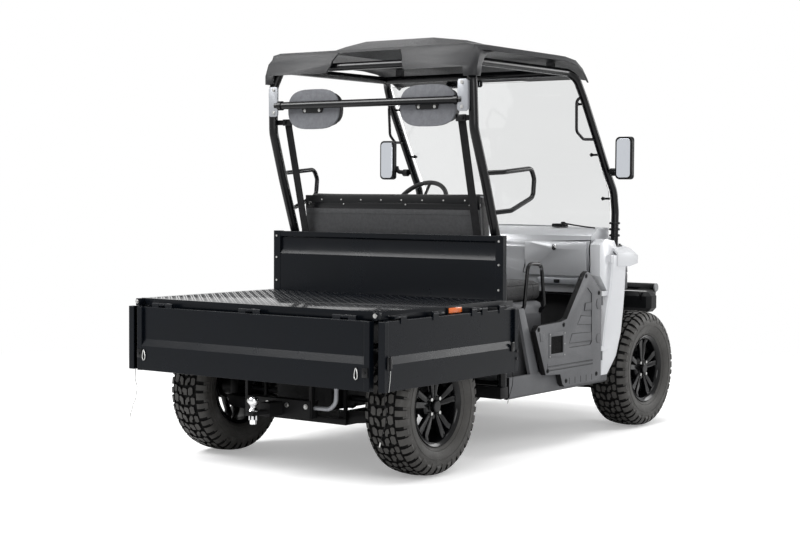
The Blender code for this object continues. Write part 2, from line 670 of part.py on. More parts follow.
# Seat: hollow base over the battery, cushion, back and back panel
outer = eased(box((SEAT_BASE_X0, SEAT_BASE_X1), (-SEAT_BASE_HALF, SEAT_BASE_HALF), (FLOOR_Z + FLOOR_T + GAP, SEAT_BASE_TOP)), 0.024, 2)
inner = box((SEAT_BASE_X0 + 0.020, SEAT_BASE_X1 - 0.020), (-SEAT_BASE_HALF + 0.020, SEAT_BASE_HALF - 0.020), (0.300, SEAT_BASE_TOP - 0.020))
pieces = [combined(outer, [inner], "DIFFERENCE")]
for label, side in SIDES:
    hoop = [(0.880, side * 0.590, 0.700), (0.880, side * 0.628, 0.745), (0.912, side * 0.628, 0.965),
            (1.045, side * 0.628, 0.960), (1.078, side * 0.628, 0.745), (1.078, side * 0.590, 0.700)]
    pieces.append(tube(hoop, 0.009, 1, 0.045, 2))
node("seat_base", fused(pieces), "plastic_grey")
node("battery_pack", box((0.720, 1.070), (-0.520, 0.520), (FLOOR_Z + FLOOR_T + GAP, 0.640)), "dark_grey")
cushion = box((0.745, 1.160), (-0.585, 0.585), (SEAT_BASE_TOP + GAP, CUSHION_TOP))
node("seat_cushion", eased(cushion, 0.035, 2), "vinyl")


def leaning(low_x, low_z, high_x, high_z, thick, half, ease=0.0):
    """An upright slab leaning back, given the foot and head of its rear face."""
    shape = [(low_x, low_z), (low_x + thick, low_z), (high_x + thick, high_z), (high_x, high_z)]
    made = prism(shape, "y", -half, half)
    return eased(made, ease, 2) if ease else made


node("seat_back", leaning(0.6250, CUSHION_TOP - 0.100, 0.5680, SEAT_BACK_TOP, 0.105, SEAT_BACK_HALF, 0.030), "vinyl")
back_panel = [leaning(0.6105, CUSHION_TOP - 0.080, 0.5655, 1.2300, 0.012, SEAT_BACK_HALF - 0.005)]
back_panel.append(leaning(0.5655, 1.2150, 0.5615, 1.2500, 0.0135, SEAT_BACK_HALF - 0.005))
back_panel.append(box((0.590, 0.680 - GAP), (-0.300, 0.300), (0.740, 0.755)))
back_panel.append(box((0.600, 0.618), (-0.300, 0.300), (0.740, 0.820)))
node("seat_back_panel", fused(back_panel), "dark_grey")

# Roll cage: rear hoop with hip loops, front frame with grab handles
REAR_POST = ((0.645, 0.645, 0.3563), (0.640, 0.645, 0.900), (0.574, 0.645, 1.120), (0.476, 0.645, 1.390),
             (0.385, 0.637, 1.640), (0.376, 0.633, 1.870), (0.400, CAGE_RAIL_Y, CAGE_RAIL_Z))
pieces = []
for label, side in SIDES:
    post = [(x, side * y, z) for x, y, z in REAR_POST]
    pieces.append(tube(post, POST_R, 2, 0.16, 1))
    loop = [(0.470, side * 0.645, 1.424), (0.560, side * 0.700, 1.430), (0.810, side * 0.705, 1.452),
            (0.838, side * 0.705, 1.400), (0.828, side * 0.705, 1.308), (0.630, side * 0.700, 1.240),
            (0.535, side * 0.645, 1.228)]
    pieces.append(tube(loop, 0.012, 1, 0.045, 2))
pieces.append(tube([(0.400, -CAGE_RAIL_Y, CAGE_RAIL_Z), (0.400, CAGE_RAIL_Y, CAGE_RAIL_Z)], RAIL_R, 2))
node("cage_rear", fused(pieces), "frame_black")

PILLAR = ((0.4245, CAGE_RAIL_Y, CAGE_RAIL_Z), (1.345, CAGE_RAIL_Y, CAGE_RAIL_Z), (1.388, 0.630, 1.940), (1.448, 0.643, 1.835),
          (1.575, 0.650, 1.633), (1.690, 0.655, 1.448), (1.762, 0.660, 1.340), (1.782, 0.660, 1.225),
          (1.775, 0.660, 1.040))
pieces = []
for label, side in SIDES:
    pillar = [(x, side * y, z) for x, y, z in PILLAR]
    pieces.append(tube(pillar, RAIL_R, 2, 0.14, 1))
    pieces.append(box((1.735, 1.815), (side * 0.630, side * 0.690), (1.0345, 1.043)))
    grab = [(1.452, side * 0.640, 1.850), (1.400, side * 0.625, 1.830), (1.408, side * 0.622, 1.660),
            (1.470, side * 0.630, 1.620), (1.580, side * 0.648, 1.622)]
    pieces.append(tube(grab, 0.008, 1, 0.035, 2))
pieces.append(tube([(1.335, -CAGE_RAIL_Y, CAGE_RAIL_Z), (1.335, CAGE_RAIL_Y, CAGE_RAIL_Z)], RAIL_R, 2))
node("cage_front", fused(pieces), "frame_black")

# Cross bar behind the heads with its end plates and two head pads
PAD_Y = 0.374
pieces = [tube([(0.351, -0.598, 1.779), (0.351, 0.598, 1.779)], 0.0195, 2)]
for label, side in SIDES:
    pieces.append(box((0.3375, 0.3455), (side * 0.570, side * 0.630), (1.722, 1.878)))
    pieces.append(box((0.3440, 0.3540), (side * 0.606, side * 0.630), (1.730, 1.870)))
    pieces.append(box((0.360, 0.388), (side * (PAD_Y - 0.055), side * (PAD_Y + 0.055)), (1.764, 1.794)))
    outline = []
    for k in range(14):
        turn = 2 * math.pi * k / 14
        c, s = math.cos(turn), math.sin(turn)
        outline.append((side * PAD_Y + 0.175 * math.copysign(abs(c) ** 0.6, c), 1.760 + 0.104 * math.copysign(abs(s) ** 0.8, s)))
    pieces.append(prism(outline, "x", 0.380, 0.392))
    inner = [(side * PAD_Y + (a - side * PAD_Y) * 0.94, 1.760 + (b - 1.760) * 0.94) for a, b in outline]
    pieces.append(eased(prism(inner, "x", 0.391, 0.455), 0.018, 1))
node("headrest_bar", fused(pieces), "frame_black")

# Seat belts: webbing from the post to the reel behind the seat
for label, side in SIDES:
    half = 0.023
    middle = side * 0.552
    line = [(0.3990, 1.700), (0.5470, 1.125), (0.5470, 0.985)]
    shape = line + [(x + 0.003, z) for x, z in reversed(line)]
    pieces = [
        prism(shape, "y", middle - half, middle + half),
        box((0.5420, 0.5720), (middle - 0.030, middle + 0.030), (0.900, 0.990)),
        box((0.3940, 0.4040), (side * (0.552 - 0.026), side * 0.6163), (1.680, 1.706)),
    ]
    node("belt_" + label, fused(pieces), "webbing")

# Roof: moulded shell with a raised centre, side skirts and rear corner skirts
ROOF_STATIONS = (
    (0.380, 0.000, 0.000, 0.960),
    (0.470, 0.000, 0.026, 1.000),
    (0.640, 0.000, 0.066, 1.000),
    (0.950, 0.000, 0.077, 1.000),
    (1.210, -0.001, 0.066, 1.000),
    (1.335, -0.013, 0.036, 0.990),
    (1.437, -0.048, 0.012, 0.965),
    (ROOF_NOSE_X, -0.094, 0.004, 0.945),
)
ROOF_T = 0.014


def roof_ring(x, lift, crown, width):
    z = ROOF_SIDE_Z + lift
    half = ROOF_HALF * width
    outside = [(0.0, z + crown), (0.215, z + crown), (0.270, z), (half - 0.060, z + 0.001),
               (half - 0.010, z - 0.009), (half, z - 0.034)]
    inside = [(half - 0.010, z - 0.034), (half - 0.020, z - 0.022), (half - 0.064, z - ROOF_T),
              (0.266, z - ROOF_T), (0.208, z + crown - ROOF_T), (0.0, z + crown - ROOF_T)]
    right = outside + inside
    left = [(-y, h) for y, h in reversed(right)][1:-1]
    return [(x, y, h) for y, h in right + left]


def lofted(rings):
    bm = bmesh.new()
    made = [[bm.verts.new(p) for p in ring] for ring in rings]
    count = len(made[0])
    for first, second in zip(made, made[1:]):
        for k in range(count):
            n = (k + 1) % count
            bm.faces.new((first[k], first[n], second[n], second[k]))
    bmesh.ops.holes_fill(bm, edges=[e for e in bm.edges if e.is_boundary], sides=0)
    return as_object(bm)


# The apron runs from the middle of the tail round the corner, and its rings climb from foot to roof
APRON_OUT = ((ROOF_REAR_X, 0.225), (ROOF_REAR_X, 0.640), (0.342, 0.659), (0.358, 0.6700), (0.540, 0.6705))
APRON_IN = ((0.540, 0.6585), (0.362, 0.6580), (0.353, 0.651), (0.347, 0.636), (0.347, 0.225))
APRON_LEVELS = ((1.893, 0.000, 0.000), (1.937, 0.000, 0.000), (2.000, 0.024, 0.001), (2.0455, 0.047, 0.030))
BOOT_CUT = ((0.100, 1.850), (0.606, 1.850), (0.600, 1.938), (0.245, 1.938), (0.185, 2.060), (0.100, 2.060))
LEG_CUT = ((0.388, 1.850), (0.388, 1.893), (0.400, 1.945), (0.424, 1.983), (0.464, 2.010), (0.530, 2.0215), (0.700, 2.0215), (0.700, 1.850))
roof = lofted([roof_ring(*station) for station in ROOF_STATIONS])
pieces = [roof]
for label, side in SIDES:
    rings = [[(x + ahead, side * (y - inward), z) for x, y in APRON_OUT + APRON_IN] for z, ahead, inward in APRON_LEVELS]
    boot = prism([(side * y, z) for y, z in BOOT_CUT], "x", 0.300, 0.430)
    leg = prism(LEG_CUT, "y", side * 0.600, side * 0.700)
    pieces.append(combined(lofted(rings), [boot, leg], "DIFFERENCE"))
    pieces.append(box((0.390, 0.414), (side * 0.480, side * 0.520), (1.9933, 2.050)))
    pieces.append(box((1.322, 1.348), (side * 0.480, side * 0.520), (1.9933, 2.034)))
node("roof", fused(pieces), "dark_grey")

# Windscreen between the pillars
SCREEN = ((1.788, 1.1256), (1.790, 1.230), (1.768, 1.345), (1.697, 1.452), (1.582, 1.637), (1.467, 1.849), (1.415, 1.938))
sheet = list(SCREEN) + [(x + 0.005, z + 0.002) for x, z in reversed(SCREEN)]
node("windscreen", prism(sheet, "y", -SCREEN_HALF, SCREEN_HALF), "glass")

# Dashboard, glove box lid and steering
DASH_HALF = 0.622
COLUMN_TOP = Vector((1.300, STEER_Y, 1.254))
COLUMN_DIR = Vector((0.785, 0.0, -0.620)).normalized()
dash = [(1.600, 0.780), (1.580, 0.870), (1.562, 1.030), (1.585, 1.095), (1.650, 1.130), (1.780, 1.140), (1.780, 1.120),
        (1.655, 1.112), (1.602, 1.082), (1.582, 1.028), (1.600, 0.873), (1.620, 0.784)]
pieces = [prism(dash, "y", -DASH_HALF, DASH_HALF)]
for y0, y1 in ((-DASH_HALF, -DASH_HALF + 0.015), (0.0, 0.015), (DASH_HALF - 0.015, DASH_HALF)):
    web = [(1.610, 0.782), (1.590, 0.872), (1.572, 1.030), (1.592, 1.090), (1.652, 1.121), (1.780, 1.130),
           (1.780, 0.782), (1.730, 0.760 + GAP), (1.716, 0.760 + GAP)]
    pieces.append(prism(web, "y", y0, y1))
pieces.append(box((1.770, 1.830), (-0.300, 0.300), (1.100, 1.1252)))
for y0, y1 in ((-0.6260, -0.6103), (-0.2197, -0.2040)):
    pieces.append(box((1.556, 1.585), (y0, y1), (0.872, 0.888)))
column_hole = tube([COLUMN_TOP, COLUMN_TOP + COLUMN_DIR * 0.42], 0.022 + GAP, 3)
node("dashboard", fused(pieces, [column_hole]), "silver")
LID_AXIS = (1.562, -0.415, 0.880)
lid = [(1.568, 0.876), (1.5515, 1.020), (1.5610, 1.060), (1.5510, 1.064), (1.5405, 1.021), (1.5570, 0.874)]
node("glovebox_lid", fused([prism(lid, "y", -0.610, -0.220), cylinder((1.5430, -0.415, 1.030), "x", 0.012, -0.006, 0.004, 10)]),
     "silver", LID_AXIS)

node("steering_column", tube([COLUMN_TOP + COLUMN_DIR * 0.0353, COLUMN_TOP + COLUMN_DIR * 0.400], 0.022, 3), "frame_black")
ring = lathe(
    [(0.013 * math.sin(2 * math.pi * k / 6), STEER_WHEEL_R - 0.013 + 0.013 * math.cos(2 * math.pi * k / 6)) for k in range(6)],
    (0, 0, 0), "z", 24,
)
hub = cylinder((0, 0, 0), "z", 0.034, -0.035, 0.012, 12)
pieces = [ring, hub]
for turn in (math.radians(90), math.radians(205), math.radians(335)):
    spoke = tube([(0.02 * math.cos(turn), 0.02 * math.sin(turn), -0.006),
                  (0.168 * math.cos(turn), 0.168 * math.sin(turn), 0.0)], 0.009, 1)
    pieces.append(spoke)
wheel = fused(pieces)
facing = (-COLUMN_DIR).to_track_quat("Z", "Y").to_matrix().to_4x4()
wheel.data.transform(Matrix.Translation(COLUMN_TOP) @ facing)
node("steering_wheel", wheel, "vinyl", tuple(COLUMN_TOP))

# Mirrors: two on the pillars and one under the roof
for label, side in SIDES:
    glass = eased(box((1.612, 1.655), (side * 0.745, side * 0.848), (1.405, 1.637)), 0.018, 1)
    pieces = [
        glass,
        tube([(1.640, side * 0.760, 1.450), (1.665, side * 0.700, 1.452)], 0.016, 2),
        cylinder((1.672, side * 0.700, 1.446), "y", 0.021, side * -0.0236, side * 0.014, 12),
    ]
    node("mirror_" + label, fused(pieces), "frame_black")
pieces = [
    eased(box((1.238, 1.262), (-0.118, 0.118), (1.905, 1.945)), 0.008, 1),
    tube([(1.255, 0, 1.930), (1.3169, 0, 1.9625)], 0.008, 2),
]
node("mirror_interior", fused(pieces), "frame_black")

# Front body: hood, fenders, fascia with lamps, bumper
HOOD_STATIONS = (
    (1.800, 1.128, 0.600, 0.020),
    (1.950, 1.105, 0.560, 0.022),
    (2.120, 1.060, 0.500, 0.024),
    (2.280, 0.985, 0.450, 0.024),
    (2.380, 0.880, 0.425, 0.020),
    (2.425, 0.800, 0.400, 0.015),
)


def hood_ring(x, z, half, crown):
    top = [(0.0, z + crown), (half * 0.55, z + crown * 0.8), (half - 0.060, z), (half, z - 0.035)]
    under = [(half - 0.012, z - 0.040), (half - 0.068, z - 0.014), (half * 0.54, z + crown * 0.8 - 0.014), (0.0, z + crown - 0.014)]
    right = top + under
    left = [(-y, h) for y, h in reversed(right)][1:-1]
    return [(x, y, h) for y, h in right + left]


node("hood", lofted([hood_ring(*station) for station in HOOD_STATIONS]), "silver")

# Fender: an upright band behind the wheel, a flare over it and a cowl beside the dashboard
WALL = 0.012
FOOT_Z = 1.0342
BAND_LEVELS = (
    (0.335, BAND_REAR_X, 1.664, 0.690, 0.6700),
    (0.430, BAND_REAR_X, 1.745, 0.700, 0.6700),
    (0.560, 1.585, 1.785, 0.708, 0.6600),
    (0.700, 1.606, 1.797, 0.715, 0.6550),
    (0.780, 1.627, 1.799, 0.720, 0.6550),
    (0.900, 1.640, 1.801, 0.724, 0.6550),
    (0.990, 1.646, 1.802, 0.726, 0.6550),
)
FLARE_STATIONS = (
    (1.690, 0.626, FOOT_Z, 0.698, FOOT_Z, 0.731, 0.930),
    (1.825, 0.626, FOOT_Z, 0.698, FOOT_Z, 0.733, 0.925),
    (1.920, 0.580, 1.058, 0.690, 1.020, 0.733, 0.940),
    (2.020, 0.560, 1.045, 0.632, 1.010, 0.655, 0.945),
    (2.100, 0.525, 1.036, 0.572, 1.000, 0.590, 0.928),
    (2.170, 0.490, 1.018, 0.518, 0.985, 0.532, 0.905),
    (2.260, 0.462, 0.975, 0.480, 0.945, 0.490, 0.870),
)
COWL = ((1.545, 0.880), (1.540, 1.050), (1.600, 1.080), (1.700, 1.070), (1.727, 1.036), (1.727, 0.900), (1.672, 0.790), (1.630, 0.790))


def band_ring(z, rear, front, out, low):
    outside = [(rear, low), (rear, out - 0.008), (rear + 0.008, out), (front - 0.010, out), (front, out - 0.010), (front, low)]
    inside = [(front - WALL, low), (front - WALL, out - WALL), (rear + WALL, out - WALL), (rear + WALL, low)]
    return [(x, y, z) for x, y in outside + inside]


def flare_ring(x, y0, z0, y1, z1, y2, z2):
    """A thin section over the wheel: inner edge, shoulder, side and lip."""
    outside = [(y0, z0), (y1, z1), (y2, z1 - 0.035), (y2, z2)]
    inside = [(y2 - 0.010, z2), (y2 - 0.010, z1 - 0.040), (y1 - 0.006, z1 - 0.011), (y0, z0 - 0.010)]
    return [(x, y, z) for y, z in outside + inside]


for label, side in SIDES:
    pieces = [
        lofted([[(x, side * y, z) for x, y, z in band_ring(*level)] for level in BAND_LEVELS]),
        lofted([[(x, side * y, z) for x, y, z in flare_ring(*station)] for station in FLARE_STATIONS]),
        prism(COWL, "y", side * 0.640, side * 0.700),
        box((1.628, 1.820), (side * 0.640, side * 0.722), (0.950, 0.992)),
        box((1.600, 1.650), (side * (SILL_OUT + GAP), side * 0.684), (0.337, 0.375)),
    ]
    for z in (0.4703, 0.7703):
        pieces.append(box((DOOR_AXIS_X, BAND_REAR_X + 0.055), (side * (DOOR_AXIS_Y - 0.005), side * (DOOR_AXIS_Y + 0.003)), (z, z + 0.026)))
        pieces.append(cylinder((DOOR_AXIS_X, side * DOOR_AXIS_Y, 0), "z", HINGE_R, z, z + 0.026, 10))
    node("fender_" + label, fused(pieces), "silver")

pieces = [eased(box((2.395, 2.430), (-0.385, 0.385), (0.560, 0.752)), 0.010, 1)]
pieces.append(box((2.400, 2.424), (-0.300, 0.300), (0.740, 0.7885)))
for label, side in SIDES:
    pieces.append(box((2.390 + GAP, 2.412), (side * 0.277, side * 0.298), (0.480, 0.600)))
    pieces.append(eased(box((2.330, 2.440), (side * 0.370, side * 0.600), (0.632, 0.750)), 0.024, 1))
    pieces.append(lathe([(0.0, 0.0), (0.0, LAMP_R), (0.012, LAMP_R), (0.004, LAMP_R - 0.012), (0.004, 0.0)],
                        (2.435, side * 0.455, 0.691), "x", 16))
slots = [box((2.420, 2.440), (-0.330, 0.330), (z, z + 0.016)) for z in (0.590, 0.622, 0.654, 0.686)]
node("front_fascia", fused(pieces, slots), "frame_black")

pieces = [tube([(BUMPER_X, -BUMPER_HALF, BUMPER_Z), (BUMPER_X, BUMPER_HALF, BUMPER_Z)], BUMPER_R, 3)]
pieces.append(tube([(BUMPER_X - 0.010, -0.380, 0.560), (BUMPER_X - 0.010, 0.380, 0.560)], 0.020, 3))
for label, side in SIDES:
    plate = [(2.3903, 0.475), (2.3903, 0.535), (2.450, 0.580), (2.500, 0.785), (2.520, 0.785), (2.520, 0.520), (2.460, 0.475)]
    pieces.append(prism(plate, "y", side * 0.262, side * 0.274))
node("front_bumper", fused(pieces), "frame_black")

# Half doors, hinged at their front edge, with a vent recess, two long grooves and a stepped field
DOOR_SHAPE = (
    (DOOR_EDGE_X, 0.330), (DOOR_EDGE_X, 0.795), (1.437, 0.892), (1.400, 0.911), (1.372, 0.898), (1.183, 0.668),
    (1.118, 0.656), (0.895, 0.649), (0.866, 0.622), (0.972, 0.390), (1.120, 0.382), (1.143, 0.328), (1.166, 0.312),
    (1.520, 0.316),
)
DOOR_FIELD = ((1.399, 0.824), (1.446, 0.789), (1.452, 0.532), (1.433, 0.515), (1.213, 0.515), (1.213, 0.544), (1.283, 0.584))
DOOR_STEPS = (
    ((1.380, 0.742), (1.456, 0.744), (1.456, 0.701), (1.370, 0.702)),
    ((1.333, 0.678), (1.456, 0.666), (1.456, 0.623), (1.296, 0.633)),
    ((1.238, 0.587), (1.456, 0.582), (1.456, 0.536), (1.210, 0.538)),
)
VENT = ((1.016, 0.589), (1.149, 0.586), (1.151, 0.491), (1.018, 0.494))
GROOVES = (0.428, 0.412)
FIELD_DEPTH = 0.003
for label, side in SIDES:
    face = side * DOOR_OUT_Y
    field = prism(DOOR_FIELD, "y", face - side * FIELD_DEPTH, face + side * 0.020)
    vent = prism(VENT, "y", face - side * 0.008, face + side * 0.020)
    cuts = [field, vent]
    for z in GROOVES:
        cuts.append(box((0.994, 1.463), (face - side * 0.003, face + side * 0.020), (z - 0.0035, z + 0.0035)))
    pieces = [fused([prism(DOOR_SHAPE, "y", side * DOOR_IN_Y, face)], cuts)]
    for step in DOOR_STEPS:
        pieces.append(prism(step, "y", face - side * 0.010, face))
    for z in (0.420, 0.720):
        pieces.append(box((DOOR_EDGE_X - 0.020, DOOR_AXIS_X), (side * (DOOR_AXIS_Y - 0.005), side * (DOOR_AXIS_Y + 0.003)), (z, z + 0.050)))
        pieces.append(cylinder((DOOR_AXIS_X, side * DOOR_AXIS_Y, 0), "z", HINGE_R, z, z + 0.050, 10))
    node("door_" + label, fused(pieces), "plastic_grey", (DOOR_AXIS_X, side * DOOR_AXIS_Y, 0.560))
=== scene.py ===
# Looks of the side by side utility vehicle: finishes, fittings, tyres, padding and studio.
import json
import math

import bmesh
import bpy
from mathutils import Matrix, Vector
from mathutils.bvhtree import BVHTree


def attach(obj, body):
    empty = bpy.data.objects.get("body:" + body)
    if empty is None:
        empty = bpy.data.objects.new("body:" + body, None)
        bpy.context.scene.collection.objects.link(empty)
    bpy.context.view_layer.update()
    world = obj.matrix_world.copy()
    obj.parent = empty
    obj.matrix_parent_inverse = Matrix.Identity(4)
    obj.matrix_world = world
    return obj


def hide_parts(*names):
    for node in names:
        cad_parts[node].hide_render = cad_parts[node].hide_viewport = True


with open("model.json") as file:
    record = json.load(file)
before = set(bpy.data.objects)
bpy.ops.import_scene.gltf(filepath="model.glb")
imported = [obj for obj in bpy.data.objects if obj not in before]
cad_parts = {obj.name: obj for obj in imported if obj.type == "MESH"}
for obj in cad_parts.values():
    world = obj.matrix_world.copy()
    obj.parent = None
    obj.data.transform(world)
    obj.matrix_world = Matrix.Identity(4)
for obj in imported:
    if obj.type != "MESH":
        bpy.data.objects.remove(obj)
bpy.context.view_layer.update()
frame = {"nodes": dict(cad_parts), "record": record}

# Lengths along the vehicle are measured from the rear axle, as on a maker's drawing
REAR_AXLE = -0.9925
FRONT_AXLE = 2.090
TRACK_HALF = 0.611
TYRE_R = 0.330
SIDES = (("left", 1), ("right", -1))


def spot(x, y, z):
    return Vector((x + REAR_AXLE, y, z))


# Camera at the photograph's place
def place_camera():
    yaw, pitch, roll = math.radians(35.97), math.radians(2.60), math.radians(0.34)
    ahead = Vector((math.cos(yaw) * math.cos(pitch), math.sin(yaw) * math.cos(pitch), -math.sin(pitch)))
    right = Vector((math.sin(yaw), -math.cos(yaw), 0.0))
    up = right.cross(ahead)
    right, up = right * math.cos(roll) + up * math.sin(roll), up * math.cos(roll) - right * math.sin(roll)
    data = bpy.data.cameras.new("studio_camera")
    data.sensor_width = 36.0
    data.lens = 71.84
    data.clip_end = 200.0
    camera = bpy.data.objects.new("studio_camera", data)
    turn = Matrix((right, up, -ahead)).transposed().to_4x4()
    camera.matrix_world = Matrix.Translation((-7.0985, -4.909, 1.319)) @ turn
    bpy.context.scene.collection.objects.link(camera)
    bpy.context.scene.camera = camera


place_camera()
bpy.context.scene.view_settings.view_transform = "Standard"


# Shader groups that several finishes share
def group_of(name, inputs, outputs):
    tree = bpy.data.node_groups.new(name, "ShaderNodeTree")
    for label, kind, value in inputs:
        socket = tree.interface.new_socket(name=label, in_out="INPUT", socket_type=kind)
        socket.default_value = value
    for label, kind in outputs:
        tree.interface.new_socket(name=label, in_out="OUTPUT", socket_type=kind)
    return tree, tree.nodes.new("NodeGroupInput"), tree.nodes.new("NodeGroupOutput")


def wired(tree, kind, values=(), links=(), **settings):
    """A node with its settings, its socket values and the wires that come into it."""
    made = tree.nodes.new(kind)
    for key, value in settings.items():
        setattr(made, key, value)
    for key, value in values:
        made.inputs[key].default_value = value
    for key, source in links:
        tree.links.new(source, made.inputs[key])
    return made


def uneven_colour_group():
    """Colour and roughness that drift a little over the surface, as on any real finish."""
    tree, given, result = group_of(
        "uneven_colour",
        (("Colour", "NodeSocketColor", (0.5, 0.5, 0.5, 1.0)), ("Darker", "NodeSocketFloat", 0.1),
         ("Roughness", "NodeSocketFloat", 0.5), ("Spread", "NodeSocketFloat", 0.1),
         ("Size", "NodeSocketFloat", 6.0)),
        (("Colour", "NodeSocketColor"), ("Roughness", "NodeSocketFloat")),
    )
    place = wired(tree, "ShaderNodeTexCoord")
    clouds = wired(tree, "ShaderNodeTexNoise", (("Detail", 5.0), ("Roughness", 0.6)),
                   (("Vector", place.outputs["Object"]), ("Scale", given.outputs["Size"])))
    fine = wired(tree, "ShaderNodeTexNoise", (("Scale", 90.0), ("Detail", 3.0)),
                 (("Vector", place.outputs["Object"]),))
    both = wired(tree, "ShaderNodeMath", ((1, 0.35),), ((0, fine.outputs["Fac"]), (2, clouds.outputs["Fac"])),
                 operation="MULTIPLY_ADD")
    mask = wired(tree, "ShaderNodeMapRange", (("From Min", 0.45), ("From Max", 0.90)),
                 (("Value", both.outputs[0]),))
    share = wired(tree, "ShaderNodeMath", (), ((0, mask.outputs[0]), (1, given.outputs["Darker"])),
                  operation="MULTIPLY")
    deep = wired(tree, "ShaderNodeMix", (), (("Factor", share.outputs[0]),), data_type="RGBA")
    tree.links.new(given.outputs["Colour"], deep.inputs[6])
    deep.inputs[7].default_value = (0.0, 0.0, 0.0, 1.0)
    centred = wired(tree, "ShaderNodeMath", ((1, 0.5),), ((0, mask.outputs[0]),), operation="SUBTRACT")
    rough = wired(tree, "ShaderNodeMath", (),
                  ((0, centred.outputs[0]), (1, given.outputs["Spread"]), (2, given.outputs["Roughness"])),
                  operation="MULTIPLY_ADD")
    tree.links.new(deep.outputs[2], result.inputs["Colour"])
    tree.links.new(rough.outputs[0], result.inputs["Roughness"])
    return tree


def relief_group(name, build):
    """A height pattern of one kind, sized by its Size value."""
    tree, given, result = group_of(name, (("Size", "NodeSocketFloat", 100.0),),
                                   (("Height", "NodeSocketFloat"),))
    place = wired(tree, "ShaderNodeTexCoord")
    scaled = wired(tree, "ShaderNodeVectorMath", (), ((0, place.outputs["Object"]),), operation="SCALE")
    tree.links.new(given.outputs["Size"], scaled.inputs["Scale"])
    tree.links.new(build(tree, scaled.outputs[0]), result.inputs["Height"])
    return tree


def moulded_height(tree, vector):
    pits = wired(tree, "ShaderNodeTexVoronoi", (("Scale", 1.0),), (("Vector", vector),), feature="SMOOTH_F1")
    return pits.outputs["Distance"]


def leather_height(tree, vector):
    cells = wired(tree, "ShaderNodeTexVoronoi", (("Scale", 1.0),), (("Vector", vector),),
                  feature="DISTANCE_TO_EDGE")
    soft = wired(tree, "ShaderNodeMapRange", (("From Max", 0.18),), (("Value", cells.outputs["Distance"]),))
    folds = wired(tree, "ShaderNodeTexNoise", (("Scale", 0.35), ("Detail", 3.0)), (("Vector", vector),))
    both = wired(tree, "ShaderNodeMath", (), ((0, soft.outputs[0]), (1, folds.outputs["Fac"])),
                 operation="ADD")
    return both.outputs[0]


def peel_height(tree, vector):
    ripple = wired(tree, "ShaderNodeTexNoise", (("Scale", 1.0), ("Detail", 1.0)), (("Vector", vector),))
    return ripple.outputs["Fac"]


def weave_height(tree, vector):
    over = wired(tree, "ShaderNodeTexWave", (("Scale", 1.0),), (("Vector", vector),), bands_direction="Z")
    across = wired(tree, "ShaderNodeTexWave", (("Scale", 1.0),), (("Vector", vector),), bands_direction="Y")
    both = wired(tree, "ShaderNodeMath", (), ((0, over.outputs["Fac"]), (1, across.outputs["Fac"])),
                 operation="MULTIPLY")
    return both.outputs[0]


UNEVEN = uneven_colour_group()
RELIEFS = {
    "moulded": relief_group("moulded_grain", moulded_height),
    "leather": relief_group("leather_grain", leather_height),
    "peel": relief_group("paint_ripple", peel_height),
    "weave": relief_group("webbing_weave", weave_height),
}


SLOT_OF = {
    "bed_paint": "bed_paint", "tread_plate_paint": "bed_paint", "powder_coat": "frame_paint",
    "chassis_paint": "frame_paint",
    "door_plastic": "grey_plastic", "dark_plastic": "dark_plastic", "roof_plastic": "dark_plastic",
    "silver_plastic": "silver_plastic", "pale_silver_plastic": "silver_plastic", "black_vinyl": "vinyl",
    "seat_panel_plastic": "dark_plastic", "tyre_rubber": "tyre_rubber", "painted_groove_shade": "tyre_rubber",
    "gloss_black_rim": "rim_black",
    "zinc_steel": "steel", "polished_ball": "steel", "grey_cap": "grey_plastic", "belt_webbing": "webbing",
    "vent_mesh": "dark_plastic", "mirror_glass": "screen", "screen_glass": "screen", "amber_lens": "screen",
    "lamp_lens": "screen", "pad_shell_plastic": "grey_plastic", "end_plate_paint": "steel",
}


def finish(name, colour, roughness, darker=0.15, spread=0.10, size=6.0, relief=None, relief_size=300.0,
           depth=0.0003,
           metallic=0.0, specular=0.5, coat=0.0, coat_roughness=0.08, transmission=0.0, ior=None, sheen=0.0):
    """One finish: an uneven colour and roughness, with a relief of its own over it."""
    made = bpy.data.materials.new(name + "_finish")
    made["slot"] = SLOT_OF[name]
    made.use_nodes = True
    tree = made.node_tree
    shader = tree.nodes["Principled BSDF"]
    drift = wired(tree, "ShaderNodeGroup", (), (), node_tree=UNEVEN)
    drift.inputs["Colour"].default_value = (*colour, 1.0)
    drift.inputs["Darker"].default_value = darker
    drift.inputs["Roughness"].default_value = roughness
    drift.inputs["Spread"].default_value = spread
    drift.inputs["Size"].default_value = size
    tree.links.new(drift.outputs["Colour"], shader.inputs["Base Color"])
    tree.links.new(drift.outputs["Roughness"], shader.inputs["Roughness"])
    shader.inputs["Metallic"].default_value = metallic
    shader.inputs["Specular IOR Level"].default_value = specular
    shader.inputs["Coat Weight"].default_value = coat
    shader.inputs["Coat Roughness"].default_value = coat_roughness
    shader.inputs["Transmission Weight"].default_value = transmission
    shader.inputs["Sheen Weight"].default_value = sheen
    if ior:
        shader.inputs["IOR"].default_value = ior
    if relief:
        pattern = wired(tree, "ShaderNodeGroup", (), (), node_tree=RELIEFS[relief])
        pattern.inputs["Size"].default_value = relief_size
        bump = wired(tree, "ShaderNodeBump", (("Distance", depth), ("Strength", 1.0)),
                     (("Height", pattern.outputs["Height"]),))
        tree.links.new(bump.outputs["Normal"], shader.inputs["Normal"])
    return made


